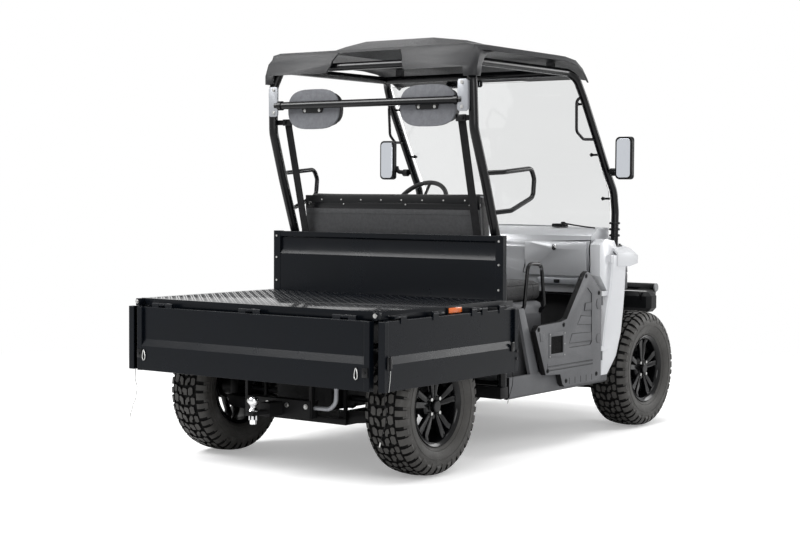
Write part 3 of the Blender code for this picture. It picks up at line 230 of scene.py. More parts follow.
BED_PAINT = finish("bed_paint", (0.0028, 0.0040, 0.0062), 0.30, 0.30, 0.10, 4.0, "peel", 220.0, 0.00020,
                   specular=0.14)
TREAD_PAINT = finish("tread_plate_paint", (0.0090, 0.0095, 0.0110), 0.15, 0.4, 0.08, 9.0, "peel", 260.0,
                     0.0001, specular=0.90, coat=0.9)
POWDER = finish("powder_coat", (0.0035, 0.0037, 0.0045), 0.22, 0.3, 0.08, 8.0, "peel", 900.0, 0.0001,
                specular=0.25)
DARK_STEEL = finish("chassis_paint", (0.0045, 0.0045, 0.0050), 0.45, 0.4, 0.15, 9.0, "peel", 500.0, 0.0003,
                    specular=0.15)
DOOR_GREY = finish("door_plastic", (0.100, 0.102, 0.108), 0.55, 0.14, 0.08, 5.0, "moulded", 900.0, 0.0003,
                   specular=0.35)
DARK_PLASTIC = finish("dark_plastic", (0.0065, 0.0068, 0.0075), 0.50, 0.2, 0.10, 5.0, "moulded", 800.0,
                      0.0003, specular=0.15)
ROOF_PLASTIC = finish("roof_plastic", (0.0090, 0.0094, 0.0110), 0.40, 0.2, 0.10, 4.0, "moulded", 900.0,
                      0.0004, specular=0.30)
SILVER = finish("silver_plastic", (0.50, 0.51, 0.53), 0.32, 0.06, 0.06, 3.0, "peel", 300.0, 0.00010,
                metallic=0.25, coat=0.30)
PALE_SILVER = finish("pale_silver_plastic", (0.58, 0.59, 0.61), 0.36, 0.04, 0.06, 3.0, "peel", 300.0, 0.00010,
                     metallic=0.10, coat=0.2)
VINYL = finish("black_vinyl", (0.012, 0.012, 0.013), 0.42, 0.3, 0.12, 8.0, "leather", 330.0, 0.0005,
               specular=0.30, sheen=0.03)
PANEL_GREY = finish("seat_panel_plastic", (0.060, 0.061, 0.064), 0.60, 0.25, 0.12, 60.0, "leather", 260.0,
                    0.0006, specular=0.30)
PAD_BACK = finish("pad_shell_plastic", (0.150, 0.155, 0.170), 0.45, 0.30, 0.10, 40.0, "leather", 300.0,
                  0.0005, specular=0.35)
RUBBER = finish("tyre_rubber", (0.046, 0.044, 0.041), 0.50, 0.35, 0.16, 14.0, "moulded", 700.0, 0.0003,
                specular=0.35)
GLOSS_BLACK = finish("gloss_black_rim", (0.0025, 0.0025, 0.0030), 0.16, 0.2, 0.05, 10.0, "peel", 260.0,
                     0.00008, specular=0.22, coat=0.05)
ZINC = finish("zinc_steel", (0.56, 0.56, 0.55), 0.30, 0.25, 0.15, 40.0, "peel", 600.0, 0.0001, metallic=1.0)
CHROME = finish("polished_ball", (0.78, 0.78, 0.79), 0.12, 0.08, 0.06, 30.0, metallic=1.0)
PLATE_SILVER = finish("end_plate_paint", (0.30, 0.31, 0.33), 0.42, 0.12, 0.10, 12.0, "peel", 500.0, 0.0002,
                      metallic=0.4)
# Painted shade for the tyre grooves: the tyre's own rubber, made much darker
PAINTED_GROOVE_SHADE = finish("painted_groove_shade", (0.0070, 0.0070, 0.0070), 0.70, 0.35, 0.16, 14.0, "moulded", 700.0,
                       0.0003, specular=0.1)
GREY_CAP = finish("grey_cap", (0.19, 0.195, 0.20), 0.45, 0.15, 0.1, 8.0, "moulded", 800.0, 0.0003)
WEBBING = finish("belt_webbing", (0.0060, 0.0060, 0.0070), 0.70, 0.3, 0.10, 30.0, "weave", 260.0, 0.0005,
                 specular=0.18)
MESH_BLACK = finish("vent_mesh", (0.0045, 0.0045, 0.0050), 0.60, 0.3, 0.1, 20.0, "moulded", 900.0, 0.0003,
                    specular=0.2)
PALE_GLASS = finish("mirror_glass", (0.74, 0.77, 0.82), 0.06, 0.04, 0.03, 3.0, metallic=1.0)
SCREEN_GLASS = finish("screen_glass", (0.800, 0.808, 0.808), 0.02, 0.02, 0.01, 3.0, transmission=1.0,
                      ior=1.30)
AMBER = finish("amber_lens", (0.72, 0.14, 0.010), 0.22, 0.15, 0.05, 30.0, coat=0.4)
CLEAR = finish("lamp_lens", (0.80, 0.82, 0.84), 0.10, 0.05, 0.03, 20.0, metallic=0.6, coat=0.8)


# Shaping helpers
def added(target, source):
    """Puts one bmesh into another."""
    mesh = bpy.data.meshes.new("part")
    source.to_mesh(mesh)
    source.free()
    target.from_mesh(mesh)
    bpy.data.meshes.remove(mesh)
    return target


def together(*parts):
    whole = parts[0]
    for part in parts[1:]:
        added(whole, part)
    return whole


def rim_edges(bm, least):
    """The edges where two faces meet at more than this angle."""
    return [e for e in bm.edges if len(e.link_faces) == 2 and e.calc_face_angle(0.0) > math.radians(least)]


def eased(bm, width, steps=2, least=30.0):
    if width:
        bmesh.ops.bevel(bm, geom=rim_edges(bm, least), offset=width, offset_type="OFFSET", segments=steps,
                        profile=0.5,
                        affect="EDGES", clamp_overlap=True, material=-1)
    return bm


def block(x, y, z, ease=0.0, steps=2):
    """A block between the two values of each pair, measured from the rear axle, with eased edges."""
    bm = bmesh.new()
    bmesh.ops.create_cube(bm, size=1.0)
    bmesh.ops.scale(bm, vec=(abs(x[1] - x[0]), abs(y[1] - y[0]), abs(z[1] - z[0])), verts=bm.verts)
    bmesh.ops.translate(bm, vec=spot((x[0] + x[1]) / 2, (y[0] + y[1]) / 2, (z[0] + z[1]) / 2), verts=bm.verts)
    return eased(bm, ease, steps)


def plate(outline, axis, low, high, ease=0.0, steps=2):
    """A flat outline pushed through along one axis, its rim eased."""
    bm = bmesh.new()
    places = {"x": lambda a, b: spot(low, a, b), "y": lambda a, b: spot(a, low, b), "z": lambda a,
              b: spot(a, b, low)}
    face = bm.faces.new([bm.verts.new(places[axis](a, b)) for a, b in outline])
    grown = bmesh.ops.extrude_face_region(bm, geom=[face])
    push = {"x": (high - low, 0, 0), "y": (0, high - low, 0), "z": (0, 0, high - low)}[axis]
    bmesh.ops.translate(bm, vec=push, verts=[v for v in grown["geom"] if isinstance(v, bmesh.types.BMVert)])
    bmesh.ops.recalc_face_normals(bm, faces=bm.faces)
    return eased(bm, ease, steps, 50.0)


AXES = {"x": Vector((1, 0, 0)), "y": Vector((0, 1, 0)), "z": Vector((0, 0, 1))}
OUTWARD = {"x": Vector((0, 1, 0)), "y": Vector((0, 0, 1)), "z": Vector((1, 0, 0))}


def turned(profile, centre, axis, steps=48):
    """A shape spun about an axis through the centre, from pairs of distance along and radius."""
    bm = bmesh.new()
    along, out = AXES[axis], OUTWARD[axis]
    line = [bm.verts.new(Vector(centre) + along * u + out * r) for u, r in profile]
    edges = [bm.edges.new(pair) for pair in zip(line, line[1:])]
    bmesh.ops.spin(bm, geom=line + edges, cent=centre, axis=along, angle=2 * math.pi, steps=steps,
                   use_merge=True)
    bmesh.ops.remove_doubles(bm, verts=bm.verts, dist=1e-6)
    bmesh.ops.recalc_face_normals(bm, faces=bm.faces)
    return bm


def rod(points, radius, loop=False, fine=4, bend=0.0):
    """A round bar or tube along a route of world points."""
    route = [Vector(p) for p in points]
    if bend:
        soft = [route[0]]
        for before, corner, after in zip(route, route[1:], route[2:]):
            back, ahead = before - corner, after - corner
            reach = min(bend * math.tan((math.pi - back.angle(ahead)) / 2), back.length * 0.48,
                        ahead.length * 0.48)
            start, end = corner + back.normalized() * reach, corner + ahead.normalized() * reach
            soft += [start * (1 - t) ** 2 + corner * 2 * t * (1 - t) + end * t ** 2
                     for t in (k / 6 for k in range(7))]
        route = soft + [route[-1]]
    data = bpy.data.curves.new("route", "CURVE")
    data.dimensions = "3D"
    spline = data.splines.new("POLY")
    spline.points.add(len(route) - 1)
    for point, place in zip(spline.points, route):
        point.co = (*place, 1.0)
    spline.use_cyclic_u = loop
    data.bevel_depth = radius
    data.bevel_resolution = fine
    data.use_fill_caps = not loop
    carrier = bpy.data.objects.new("route", data)
    bpy.context.scene.collection.objects.link(carrier)
    bpy.context.view_layer.update()
    mesh = bpy.data.meshes.new_from_object(carrier.evaluated_get(bpy.context.evaluated_depsgraph_get()))
    bpy.data.objects.remove(carrier, do_unlink=True)
    bm = bmesh.new()
    bm.from_mesh(mesh)
    bmesh.ops.remove_doubles(bm, verts=bm.verts, dist=1e-6)
    bmesh.ops.recalc_face_normals(bm, faces=bm.faces)
    return bm


def bolt_head(centre, axis, across, height, sides=6, washer=0.0):
    """A small head that stands on the surface at the centre, looking along the axis."""
    bm = bmesh.new()
    facing = Vector(axis).to_track_quat("Z", "Y").to_matrix().to_4x4()
    bmesh.ops.create_cone(bm, cap_ends=True, segments=sides, radius1=across / 2, radius2=across / 2 * 0.94,
                          depth=height)
    bmesh.ops.translate(bm, vec=(0, 0, height / 2), verts=bm.verts)
    if washer:
        flat = bmesh.new()
        bmesh.ops.create_cone(flat, cap_ends=True, segments=16, radius1=washer / 2, radius2=washer / 2,
                              depth=height * 0.4)
        bmesh.ops.translate(flat, vec=(0, 0, height * 0.2), verts=flat.verts)
        added(bm, flat)
    bmesh.ops.transform(bm, matrix=Matrix.Translation(centre) @ facing, verts=bm.verts)
    return bm


def mirrored(bm):
    """The same shape on the vehicle's other side."""
    bmesh.ops.scale(bm, vec=(1, -1, 1), verts=bm.verts)
    bmesh.ops.reverse_faces(bm, faces=bm.faces)
    return bm


def piece(name, bm, material, body, smooth=35.0, stands_for=()):
    """Turns a shape into a finished piece that rides on its body."""
    mesh = bpy.data.meshes.new(name)
    bm.to_mesh(mesh)
    bm.free()
    mesh.shade_smooth()
    mesh.set_sharp_from_angle(angle=math.radians(smooth))
    mesh.materials.append(material)
    made = bpy.data.objects.new(name, mesh)
    bpy.context.scene.collection.objects.link(made)
    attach(made, body)
    if stands_for:
        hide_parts(*stands_for)
    return made


BODY_OF = {node: body for body, nodes in frame["record"]["behaviour"]["bodies"].items() for node in nodes}


def merged(node):
    """A copy of a CAD node with its loose triangles joined and its flat faces whole."""
    bm = bmesh.new()
    bm.from_mesh(frame["nodes"][node].data)
    bmesh.ops.remove_doubles(bm, verts=bm.verts, dist=1e-5)
    bmesh.ops.dissolve_limit(bm, angle_limit=math.radians(0.6), use_dissolve_boundaries=False, verts=bm.verts,
                             edges=bm.edges, delimit={"NORMAL"})
    return bm


def dressed(node, material, ease=0.0, least=40.0, smooth=28.0):
    """The CAD node's own shape with eased edges and its finish."""
    bm = merged(node)
    if ease:
        eased(bm, ease, 2, least)
    return piece(node + "_finished", bm, material, BODY_OF[node], smooth, (node,))


# Free cords: the lanyards of the latch pins
GATE_LOW = 0.450
SIDE_AXIS_Y = 0.768
GAP = 0.0003
CORDS = (
    ("lanyard_rear", -0.505, (0.000, -0.004, 0.010, 0.002, -0.022, -0.040), 0.235, 27),
    ("lanyard_front", 0.545, (0.000, 0.006, 0.004, -0.010, -0.026, -0.040), 0.150, 18),
)
for name, x, sway, drop, points in CORDS:
    for label, side in SIDES:
        route = []
        for k in range(points):
            t = k / (points - 1)
            place = t * (len(sway) - 1)
            n = min(int(place), len(sway) - 2)
            f = place - n
            f = f * f * (3 - 2 * f)
            route.append(spot(x + sway[n] * (1 - f) + sway[n + 1] * f, side * SIDE_AXIS_Y,
                              GATE_LOW - 2 * GAP - drop * t))
        body = "bed_side_" + label
        wire = rod(route, 0.0015, fine=3)
        cord = piece(name + "_" + label + "_wire", wire, DARK_STEEL, body, 60.0, (name + "_" + label,))
        ferrule = piece(name + "_" + label + "_ferrule",
                        rod([route[-3], route[-1] + (route[-1] - route[-2]) * 0.3], 0.0030),
                        ZINC, body)


# Load bed
def tread_plate():
    """Raised lozenges over the deck, alternately turned."""
    pitch_x, pitch_y = 0.0262, 0.0262
    bm = bmesh.new()
    for row, lean in ((0, 45), (1, -45)):
        for column in (0, 1):
            turn = math.radians(lean if column == 0 else -lean)
            middle = Vector((row * pitch_x, column * pitch_y, 0))
            ring = [Vector((0.0120, 0, 0)), Vector((0, 0.0036, 0)), Vector((-0.0120, 0, 0)),
                    Vector((0, -0.0036, 0))]
            spin = Matrix.Rotation(turn, 3, "Z")
            face = bm.faces.new([bm.verts.new(spin @ p + middle) for p in ring])
            top = bmesh.ops.extrude_face_region(bm, geom=[face])
            verts = [v for v in top["geom"] if isinstance(v, bmesh.types.BMVert)]
            bmesh.ops.translate(bm, vec=(0, 0, 0.0010), verts=verts)
            bmesh.ops.scale(bm, vec=(0.62, 0.62, 1), space=Matrix.Translation(-middle), verts=verts)
    mesh = bpy.data.meshes.new("lozenges")
    bm.to_mesh(mesh)
    bm.free()
    carrier = bpy.data.objects.new("lozenges", mesh)
    bpy.context.scene.collection.objects.link(carrier)
    for count, step in ((18, (2 * pitch_x, 0, 0)), (27, (0, 2 * pitch_y, 0))):
        repeat = carrier.modifiers.new("repeat", "ARRAY")
        repeat.count = count
        repeat.use_relative_offset = False
        repeat.use_constant_offset = True
        repeat.constant_offset_displace = step
    bpy.context.view_layer.update()
    full = bpy.data.meshes.new_from_object(carrier.evaluated_get(bpy.context.evaluated_depsgraph_get()))
    bpy.data.objects.remove(carrier, do_unlink=True)
    bm = bmesh.new()
    bm.from_mesh(full)
    bmesh.ops.translate(bm, vec=spot(-0.470, -0.6945, 0.8008), verts=bm.verts)
    bmesh.ops.recalc_face_normals(bm, faces=bm.faces)
    return bm


def drop_loop(x, y, top, low, wide, radius):
    """A sprung wire ring, narrow at its top, in a plane that faces rearwards."""
    points = []
    for k in range(20):
        turn = 2 * math.pi * k / 20
        share = (1 - math.cos(turn)) / 2
        points.append(spot(x, y + wide * math.sin(turn) * (0.35 + 0.65 * share), top + (low - top) * share))
    return rod(points, radius, loop=True, fine=3)


GATE_FACE = -0.550
SIDE_FACE = 0.785
HEADBOARD_FACE = 0.503
deck = dressed("bed_deck", TREAD_PAINT, 0.0015)
deck.data.materials.append(BED_PAINT)
for polygon in deck.data.polygons:
    polygon.material_index = 0 if polygon.normal.z > 0.9 else 1
piece("deck_tread", tread_plate(), BED_PAINT, "bed", 30.0)
dressed("bed_headboard", BED_PAINT, 0.0012, smooth=14.0)
PANEL_LOW, PANEL_HIGH, HINGE_Z = 0.450, 0.761, 0.775
FIELD_DEPTH, CREASE_HIGH, CREASE_LOW = 0.015, 0.604, 0.570
POST_WIDTH, TAB_HALF = 0.031, 0.022
GATE_TABS = (-0.6043, -0.5157, -0.0443, 0.0443, 0.5157, 0.6043)
SIDE_TABS = (-0.3757, -0.1243, 0.1957, 0.2843, 0.4357)


def drop_panel(axis, back, face, ends, tabs, tab_at):
    """A hanging side: a sunk upper field, a sloping crease and a proud lower band between two end posts.

    The field is deeper than the CAD solid's, and the band runs to the lower edge."""
    out = 1 if face > back else -1
    skin = face - out * FIELD_DEPTH
    shape = [(back, PANEL_HIGH), (skin, PANEL_HIGH), (skin, CREASE_HIGH), (face - out * 0.0006, CREASE_LOW),
             (face - out * 0.0006, PANEL_LOW + 0.001),
             (back, PANEL_LOW + 0.001)]
    made = plate(shape, axis, ends[0] + 0.004, ends[1] - 0.004, 0.0022, 2)
    for start, end in ((ends[0], ends[0] + POST_WIDTH), (ends[1] - POST_WIDTH, ends[1])):
        pair, across = (start, end), (back, face)
        added(made,
              block(*((pair, across) if axis == "x" else (across, pair)), (PANEL_LOW, PANEL_HIGH), 0.0025, 2))
    for place in tabs:
        pair, across = (place - TAB_HALF, place + TAB_HALF), (tab_at - 0.006, tab_at + 0.006)
        added(made, block(*((pair, across) if axis == "x" else (across, pair)), (0.745, HINGE_Z), 0.0))
        ends_of = [spot(u, tab_at, HINGE_Z) if axis == "x" else spot(tab_at, u, HINGE_Z) for u in pair]
        added(made, rod(ends_of, 0.0076, fine=4))
    return made


piece("tailgate_folded", drop_panel("y", -0.515, GATE_FACE, (-0.713, 0.713), GATE_TABS, -0.528),
      BED_PAINT, "tailgate", 14.0, ("tailgate",))
for label, side in SIDES:
    panel = drop_panel("x", side * 0.750, side * SIDE_FACE, (-0.535, 0.570), SIDE_TABS, side * SIDE_AXIS_Y)
    piece("bed_side_folded_" + label, panel, BED_PAINT, "bed_side_" + label, 14.0, ("bed_side_" + label,))
for label, side in SIDES:
    lens = block((0.020, 0.126), (side * 0.7425, side * 0.7475), (0.7655, 0.7905), 0.002)
    for k in range(7):
        added(lens,
              block((0.030 + k * 0.0135, 0.033 + k * 0.0135), (side * 0.7470, side * 0.7485),
                    (0.7675, 0.7885), 0.0005, 1))
    piece("marker_lamp_" + label, lens, AMBER, "bed")
    bolts = [bolt_head(spot(HEADBOARD_FACE, side * 0.712, z), (-1, 0, 0), 0.012, 0.005, 8) for z in (1.090,
        0.974, 0.850)]
    piece("headboard_bolts_" + label, together(*bolts), ZINC, "bed")
    corner = block((-0.530, -0.498), (side * 0.7165, side * 0.7420), (0.764, 0.7995), 0.003)
    piece("gate_corner_" + label, corner, BED_PAINT, "bed")
    piece("gate_corner_bolt_" + label,
          bolt_head(spot(-0.530, side * 0.730, 0.785), (-1, 0, 0), 0.016, 0.008, 6, 0.021), ZINC, "bed")
    ring_y = side * (0.664 if side > 0 else 0.642)
    piece("gate_ring_" + label, drop_loop(GATE_FACE - 0.0040, ring_y, 0.552, 0.502, 0.012, 0.0026), ZINC,
          "tailgate")
    catch = together(block((GATE_FACE - 0.006, GATE_FACE + 0.002), (side * 0.676, side * 0.708),
                           (0.512, 0.556), 0.002),
                     bolt_head(spot(GATE_FACE - 0.006, side * 0.692, 0.534), (-1, 0, 0), 0.012, 0.004))
    piece("gate_catch_" + label, catch, POWDER, "tailgate")
    panel = "bed_side_" + label
    latch = together(block((-0.521, -0.487), (side * (SIDE_FACE - 0.001), side * (SIDE_FACE + 0.009)),
                           (0.553, 0.604), 0.003),
                     rod([spot(-0.504, side * (SIDE_FACE + 0.010), 0.610),
                          spot(-0.504, side * (SIDE_FACE + 0.010), 0.545)], 0.0045))
    piece("side_latch_" + label, latch, POWDER, panel)
    wire = rod([spot(-0.500, side * (SIDE_FACE + 0.009), 0.553),
                spot(-0.498, side * (SIDE_FACE + 0.004), 0.500),
                spot(-0.505, side * (SIDE_FACE + 0.0025), 0.4503)], 0.0015, fine=3)
    piece("side_latch_wire_" + label, wire, ZINC, panel)
    heads = [bolt_head(spot(0.555, side * SIDE_FACE, z), (0, side, 0), 0.014, 0.005) for z in (0.515, 0.552)]
    piece("side_panel_bolts_" + label, together(*heads), POWDER, panel)
    piece("side_front_latch_" + label,
          block((0.500, 0.528), (side * (SIDE_FACE - 0.001), side * (SIDE_FACE + 0.007)), (0.553, 0.600),
                0.003),
          POWDER, panel)

# Roll cage in round tube
POST_R, RAIL_R = 0.024, 0.021
REAR_POST = ((0.645, 0.645, 0.3563), (0.640, 0.645, 0.900), (0.574, 0.645, 1.120), (0.476, 0.645, 1.390),
             (0.385, 0.637, 1.640), (0.376, 0.633, 1.870), (0.400, 0.600, 1.972))
HIP_LOOP = ((0.470, 0.645, 1.424), (0.560, 0.700, 1.430), (0.810, 0.705, 1.452), (0.838, 0.705, 1.400),
            (0.828, 0.705, 1.308), (0.630, 0.700, 1.240), (0.535, 0.645, 1.228))
PILLAR = ((0.4245, 0.600, 1.972), (1.345, 0.600, 1.972), (1.388, 0.630, 1.940), (1.448, 0.643, 1.835),
          (1.575, 0.650, 1.633),
          (1.690, 0.655, 1.448), (1.762, 0.660, 1.340), (1.782, 0.660, 1.225), (1.775, 0.660, 1.040))
GRAB = ((1.452, 0.640, 1.850), (1.400, 0.625, 1.830), (1.408, 0.622, 1.660), (1.470, 0.630, 1.620),
        (1.580, 0.648, 1.622))


def tubed(route, side, radius, bend):
    return rod([spot(x, side * y, z) for x, y, z in route], radius, fine=6, bend=bend)


rear_hoop = [rod([spot(0.400, -0.600, 1.972), spot(0.400, 0.600, 1.972)], RAIL_R, fine=6)]
front_frame = [rod([spot(1.335, -0.600, 1.972), spot(1.335, 0.600, 1.972)], RAIL_R, fine=6)]
for label, side in SIDES:
    rear_hoop += [tubed(REAR_POST, side, POST_R, 0.16), tubed(HIP_LOOP, side, 0.012, 0.045)]
    front_frame += [tubed(PILLAR, side, RAIL_R, 0.14), tubed(GRAB, side, 0.008, 0.035)]
    front_frame.append(block((1.735, 1.815), (side * 0.630, side * 0.690), (1.0345, 1.043), 0.002))
    for z in (1.096, 1.130, 1.164):
        front_frame.append(turned([(-0.006, 0.0205), (-0.006, 0.0285), (-0.002, 0.0310), (0.004, 0.0300),
                                   (0.007, 0.0260), (0.007, 0.0205), (-0.006, 0.0205)],
                                  spot(1.7775, side * 0.660, z), "z", 32))
    front_frame += [bolt_head(spot(x, side * 0.678, 1.043), (0, 0, 1), 0.014, 0.007) for x in (1.745, 1.805)]
piece("cage_rear_tubes", together(*rear_hoop), POWDER, BODY_OF["cage_rear"], 50.0, ("cage_rear",))
piece("cage_front_tubes", together(*front_frame), POWDER, BODY_OF["cage_front"], 50.0, ("cage_front",))


# Padding, swollen by a short cloth run
def settled(made):
    bpy.context.view_layer.update()
    mesh = bpy.data.meshes.new_from_object(made.evaluated_get(bpy.context.evaluated_depsgraph_get()))
    made.modifiers.clear()
    made.data = mesh
    return made


def padding(name, bm, material, node, voxel, cap, seams=(), replaced=True):
    """A stuffed form: an even net over the start shape, swollen by pressure, then its sewn channels."""
    mesh = bpy.data.meshes.new(name)
    bm.to_mesh(mesh)
    bm.free()
    made = bpy.data.objects.new(name, mesh)
    scene = bpy.context.scene
    scene.collection.objects.link(made)
    net = made.modifiers.new("net", "REMESH")
    net.mode = "VOXEL"
    net.voxel_size = voxel
    settled(made)
    start = [v.co.copy() for v in made.data.vertices]
    cloth = made.modifiers.new("stuffing", "CLOTH")
    cloth.settings.quality = 3
    cloth.settings.use_pressure = True
    cloth.settings.uniform_pressure_force = 4.0
    cloth.settings.effector_weights.gravity = 0.0
    cloth.point_cache.frame_end = 20
    for step in range(1, 21):
        scene.frame_set(step)
    graph = bpy.context.evaluated_depsgraph_get()
    moved = [v.co.copy() for v in made.evaluated_get(graph).data.vertices]
    made.modifiers.clear()
    for vert, before, after in zip(made.data.vertices, start, moved):
        push = after - before
        vert.co = before + push * min(1.0, cap / max(push.length, 1e-9))
    scene.frame_set(1)
    finer = made.modifiers.new("finer", "SUBSURF")
    finer.levels = 1
    finer.render_levels = 1
    settled(made)
    for vert, normal in zip(made.data.vertices, [v.normal.copy() for v in made.data.vertices]):
        sink = 0.0
        for facing, offset, width, depth in seams:
            sink += depth * math.exp(-((vert.co.dot(facing) - offset) / width) ** 2)
        vert.co -= normal * sink
    made.data.shade_smooth()
    made.data.materials.clear()
    made.data.materials.append(material)
    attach(made, BODY_OF[node])
    if replaced:
        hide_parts(node)
    return made


def piping(name, pad, points, radius, material, body, lift=0.0008):
    """A round welt that lies on the pad's own surface along a closed line."""
    tree = BVHTree.FromObject(pad, bpy.context.evaluated_depsgraph_get())
    route = []
    for point in points:
        place, normal, face, gap = tree.find_nearest(point)
        route.append(place + normal * lift)
    return piece(name, rod(route, radius, loop=True, fine=3), material, body, 60.0)


def round_rect(half_a, half_b, corner, count=12):
    """Points of a rectangle with round corners about its middle."""
    ring = []
    for quarter, (sa, sb) in enumerate(((1, 1), (-1, 1), (-1, -1), (1, -1))):
        for k in range(count):
            turn = math.pi / 2 * (quarter + k / (count - 1))
            ring.append((sa * (half_a - corner) + corner * math.cos(turn),
                         sb * (half_b - corner) + corner * math.sin(turn)))
    filled = []
    for first, second in zip(ring, ring[1:] + ring[:1]):
        gap = math.dist(first, second)
        parts = max(1, int(gap / 0.03))
        filled += [(first[0] + (second[0] - first[0]) * k / parts,
                    first[1] + (second[1] - first[1]) * k / parts) for k in range(parts)]
    return filled


ALONG_Y, ALONG_X, ALONG_Z = Vector((0, 1, 0)), Vector((1, 0, 0)), Vector((0, 0, 1))
CUSHION_LOW, CUSHION_TOP = 0.7650, 0.872
cushion = block((0.753, 1.152), (-0.577, 0.577), (CUSHION_LOW, CUSHION_TOP - 0.008), 0.032, 4)
cushion = padding("seat_cushion_padded", cushion, VINYL, "seat_cushion", 0.009, 0.008,
                  ((ALONG_Y, 0.0, 0.006, 0.010), (ALONG_Y, 0.285, 0.004, 0.003),
                   (ALONG_Y, -0.285, 0.004, 0.003),
                   (ALONG_X, 1.060 + REAR_AXLE, 0.004, 0.004)))
piping("seat_cushion_welt", cushion,
       [spot(0.9525 + a, b, CUSHION_TOP - 0.014) for a, b in round_rect(0.196, 0.574, 0.040)],
       0.0032, VINYL, BODY_OF["seat_cushion"])


def slab(low_x, low_z, high_x, high_z, thick, half, ease, steps):
    shape = [(low_x, low_z), (low_x + thick, low_z), (high_x + thick, high_z), (high_x, high_z)]
    return plate(shape, "y", -half, half, ease, steps)


SEAT_BACK_HALF = 0.565
back = slab(0.6330, 0.780, 0.5760, 1.326, 0.089, SEAT_BACK_HALF - 0.008, 0.028, 4)
back = padding("seat_back_padded", back, VINYL, "seat_back", 0.009, 0.008,
               ((ALONG_Y, 0.0, 0.006, 0.010), (ALONG_Y, 0.285, 0.004, 0.003), (ALONG_Y, -0.285, 0.004, 0.003),
                (ALONG_Z, 1.262, 0.005, 0.006), (ALONG_Z, 1.000, 0.004, 0.004)))
rear_welt = [spot(0.570, y, 1.3165) for y in (k * 0.03 - 0.54 for k in range(37))]
welt_line = rear_welt + [spot(0.600, 0.555, 1.31), spot(0.655, 0.555, 1.31)]
welt_line += [spot(0.672, y, 1.316) for y in (0.54 - k * 0.03 for k in range(37))] + [spot(0.655, -0.555,
    1.31), spot(0.600, -0.555, 1.31)]
piping("seat_back_welt", back, welt_line, 0.0035, PLATE_SILVER, BODY_OF["seat_back"], 0.001)

# Rear panel of the seat with its steel strip and rivets
dressed("seat_back_panel", PANEL_GREY, 0.0008)
strip_low, strip_mid, strip_top = 1.243, 1.273, 1.311
lower = [(0.5590, strip_low), (0.5590, strip_mid), (0.5710, strip_mid), (0.5690, strip_low)]
piece("seat_panel_rail", plate(lower, "y", -0.558, 0.558, 0.0012), POWDER, BODY_OF["seat_back_panel"])
upper = [(0.5570, strip_mid + 0.0006), (0.5580, strip_top), (0.5690, strip_top), (0.5700, strip_mid + 0.0006)]
piece("seat_panel_strip", plate(upper, "y", -0.558, 0.558, 0.0010), DARK_PLASTIC, BODY_OF["seat_back_panel"])
rivets = [bolt_head(spot(0.5575, -0.473 + k * 0.131, 1.288), (-1, 0, 0.1), 0.0085, 0.0028,
                    10) for k in range(8)]
rivets += [bolt_head(spot(0.5590, y, 1.265), (-1, 0, 0.1), 0.0080, 0.0028, 10) for y in (-0.500, -0.105,
    0.298, 0.530)]
piece("seat_panel_rivets", together(*rivets), ZINC, BODY_OF["seat_back_panel"])

# Cross bar with its end plates and head pads
PAD_Y, PAD_Z, PAD_HALF_Y, PAD_HALF_Z = 0.364, 1.758, 0.170, 0.104
bar = [rod([spot(0.351, -0.592, 1.779), spot(0.351, 0.592, 1.779)], 0.0195, fine=6)]
plates, fixings, brackets = [], [], []
for label, side in SIDES:
    outline = [(side * 0.600 + a, 1.800 + b) for a, b in round_rect(0.030, 0.078, 0.014, 5)]
    plates.append(plate(outline, "x", 0.3365, 0.3455, 0.0012))
    plates.append(block((0.3440, 0.3560), (side * 0.606, side * 0.630), (1.730, 1.870), 0.002))
    for z in (1.743, 1.862):
        fixings.append(bolt_head(spot(0.3365, side * 0.596, z), (-1, 0, 0), 0.015, 0.006, 6, 0.019))
    bar.append(turned([(-0.012, 0.0195), (-0.012, 0.0245), (0.012, 0.0245), (0.012, 0.0195),
                       (-0.012, 0.0195)],
                      spot(0.351, side * 0.560, 1.779), "y", 32))
    pad_outline = []
    for k in range(40):
        turn = 2 * math.pi * k / 40
        c, s = math.cos(turn), math.sin(turn)
        pad_outline.append((PAD_HALF_Y * math.copysign(abs(c) ** 0.6, c),
                            PAD_HALF_Z * math.copysign(abs(s) ** 0.8, s)))
    middle = side * PAD_Y
    shell = plate([(middle + a, PAD_Z + b) for a, b in pad_outline], "x", 0.3795, 0.3910, 0.0035, 3)
    piece("head_pad_shell_" + label, shell, PAD_BACK, BODY_OF["headrest_bar"])
    stuffed = plate([(middle + a * 0.95, PAD_Z + b * 0.93) for a, b in pad_outline], "x", 0.3905, 0.4480,
                    0.018, 3)
    pad = padding("head_pad_" + label, stuffed, VINYL, "headrest_bar", 0.0055, 0.007,
                  ((ALONG_X, 0.430 + REAR_AXLE, 0.003, 0.002),),
                  False)
    piping("head_pad_welt_" + label, pad,
           [spot(0.396, middle + a * 0.97, PAD_Z + b * 0.97) for a, b in pad_outline], 0.0032, VINYL,
           BODY_OF["headrest_bar"])
    bracket = [(middle - side * 0.080, 1.786), (middle + side * 0.080, 1.786), (middle + side * 0.062, 1.738),
               (middle - side * 0.062, 1.738)]
    brackets.append(plate(bracket, "x", 0.3720, 0.3792, 0.0012))
    brackets.append(block((0.360, 0.388), (side * (PAD_Y - 0.055), side * (PAD_Y + 0.055)), (1.764, 1.794),
                          0.002))
    for shift in (-0.048, 0.048):
        fixings.append(bolt_head(spot(0.3720, middle + shift, 1.7500), (-1, 0, 0), 0.012, 0.005, 6, 0.016))
piece("cross_bar", together(*bar), POWDER, BODY_OF["headrest_bar"], 50.0, ("headrest_bar",))
piece("cross_bar_end_plates", together(*plates), PLATE_SILVER, BODY_OF["headrest_bar"])
piece("head_pad_brackets", together(*brackets), POWDER, BODY_OF["headrest_bar"])
piece("cross_bar_bolts", together(*fixings), ZINC, BODY_OF["headrest_bar"])

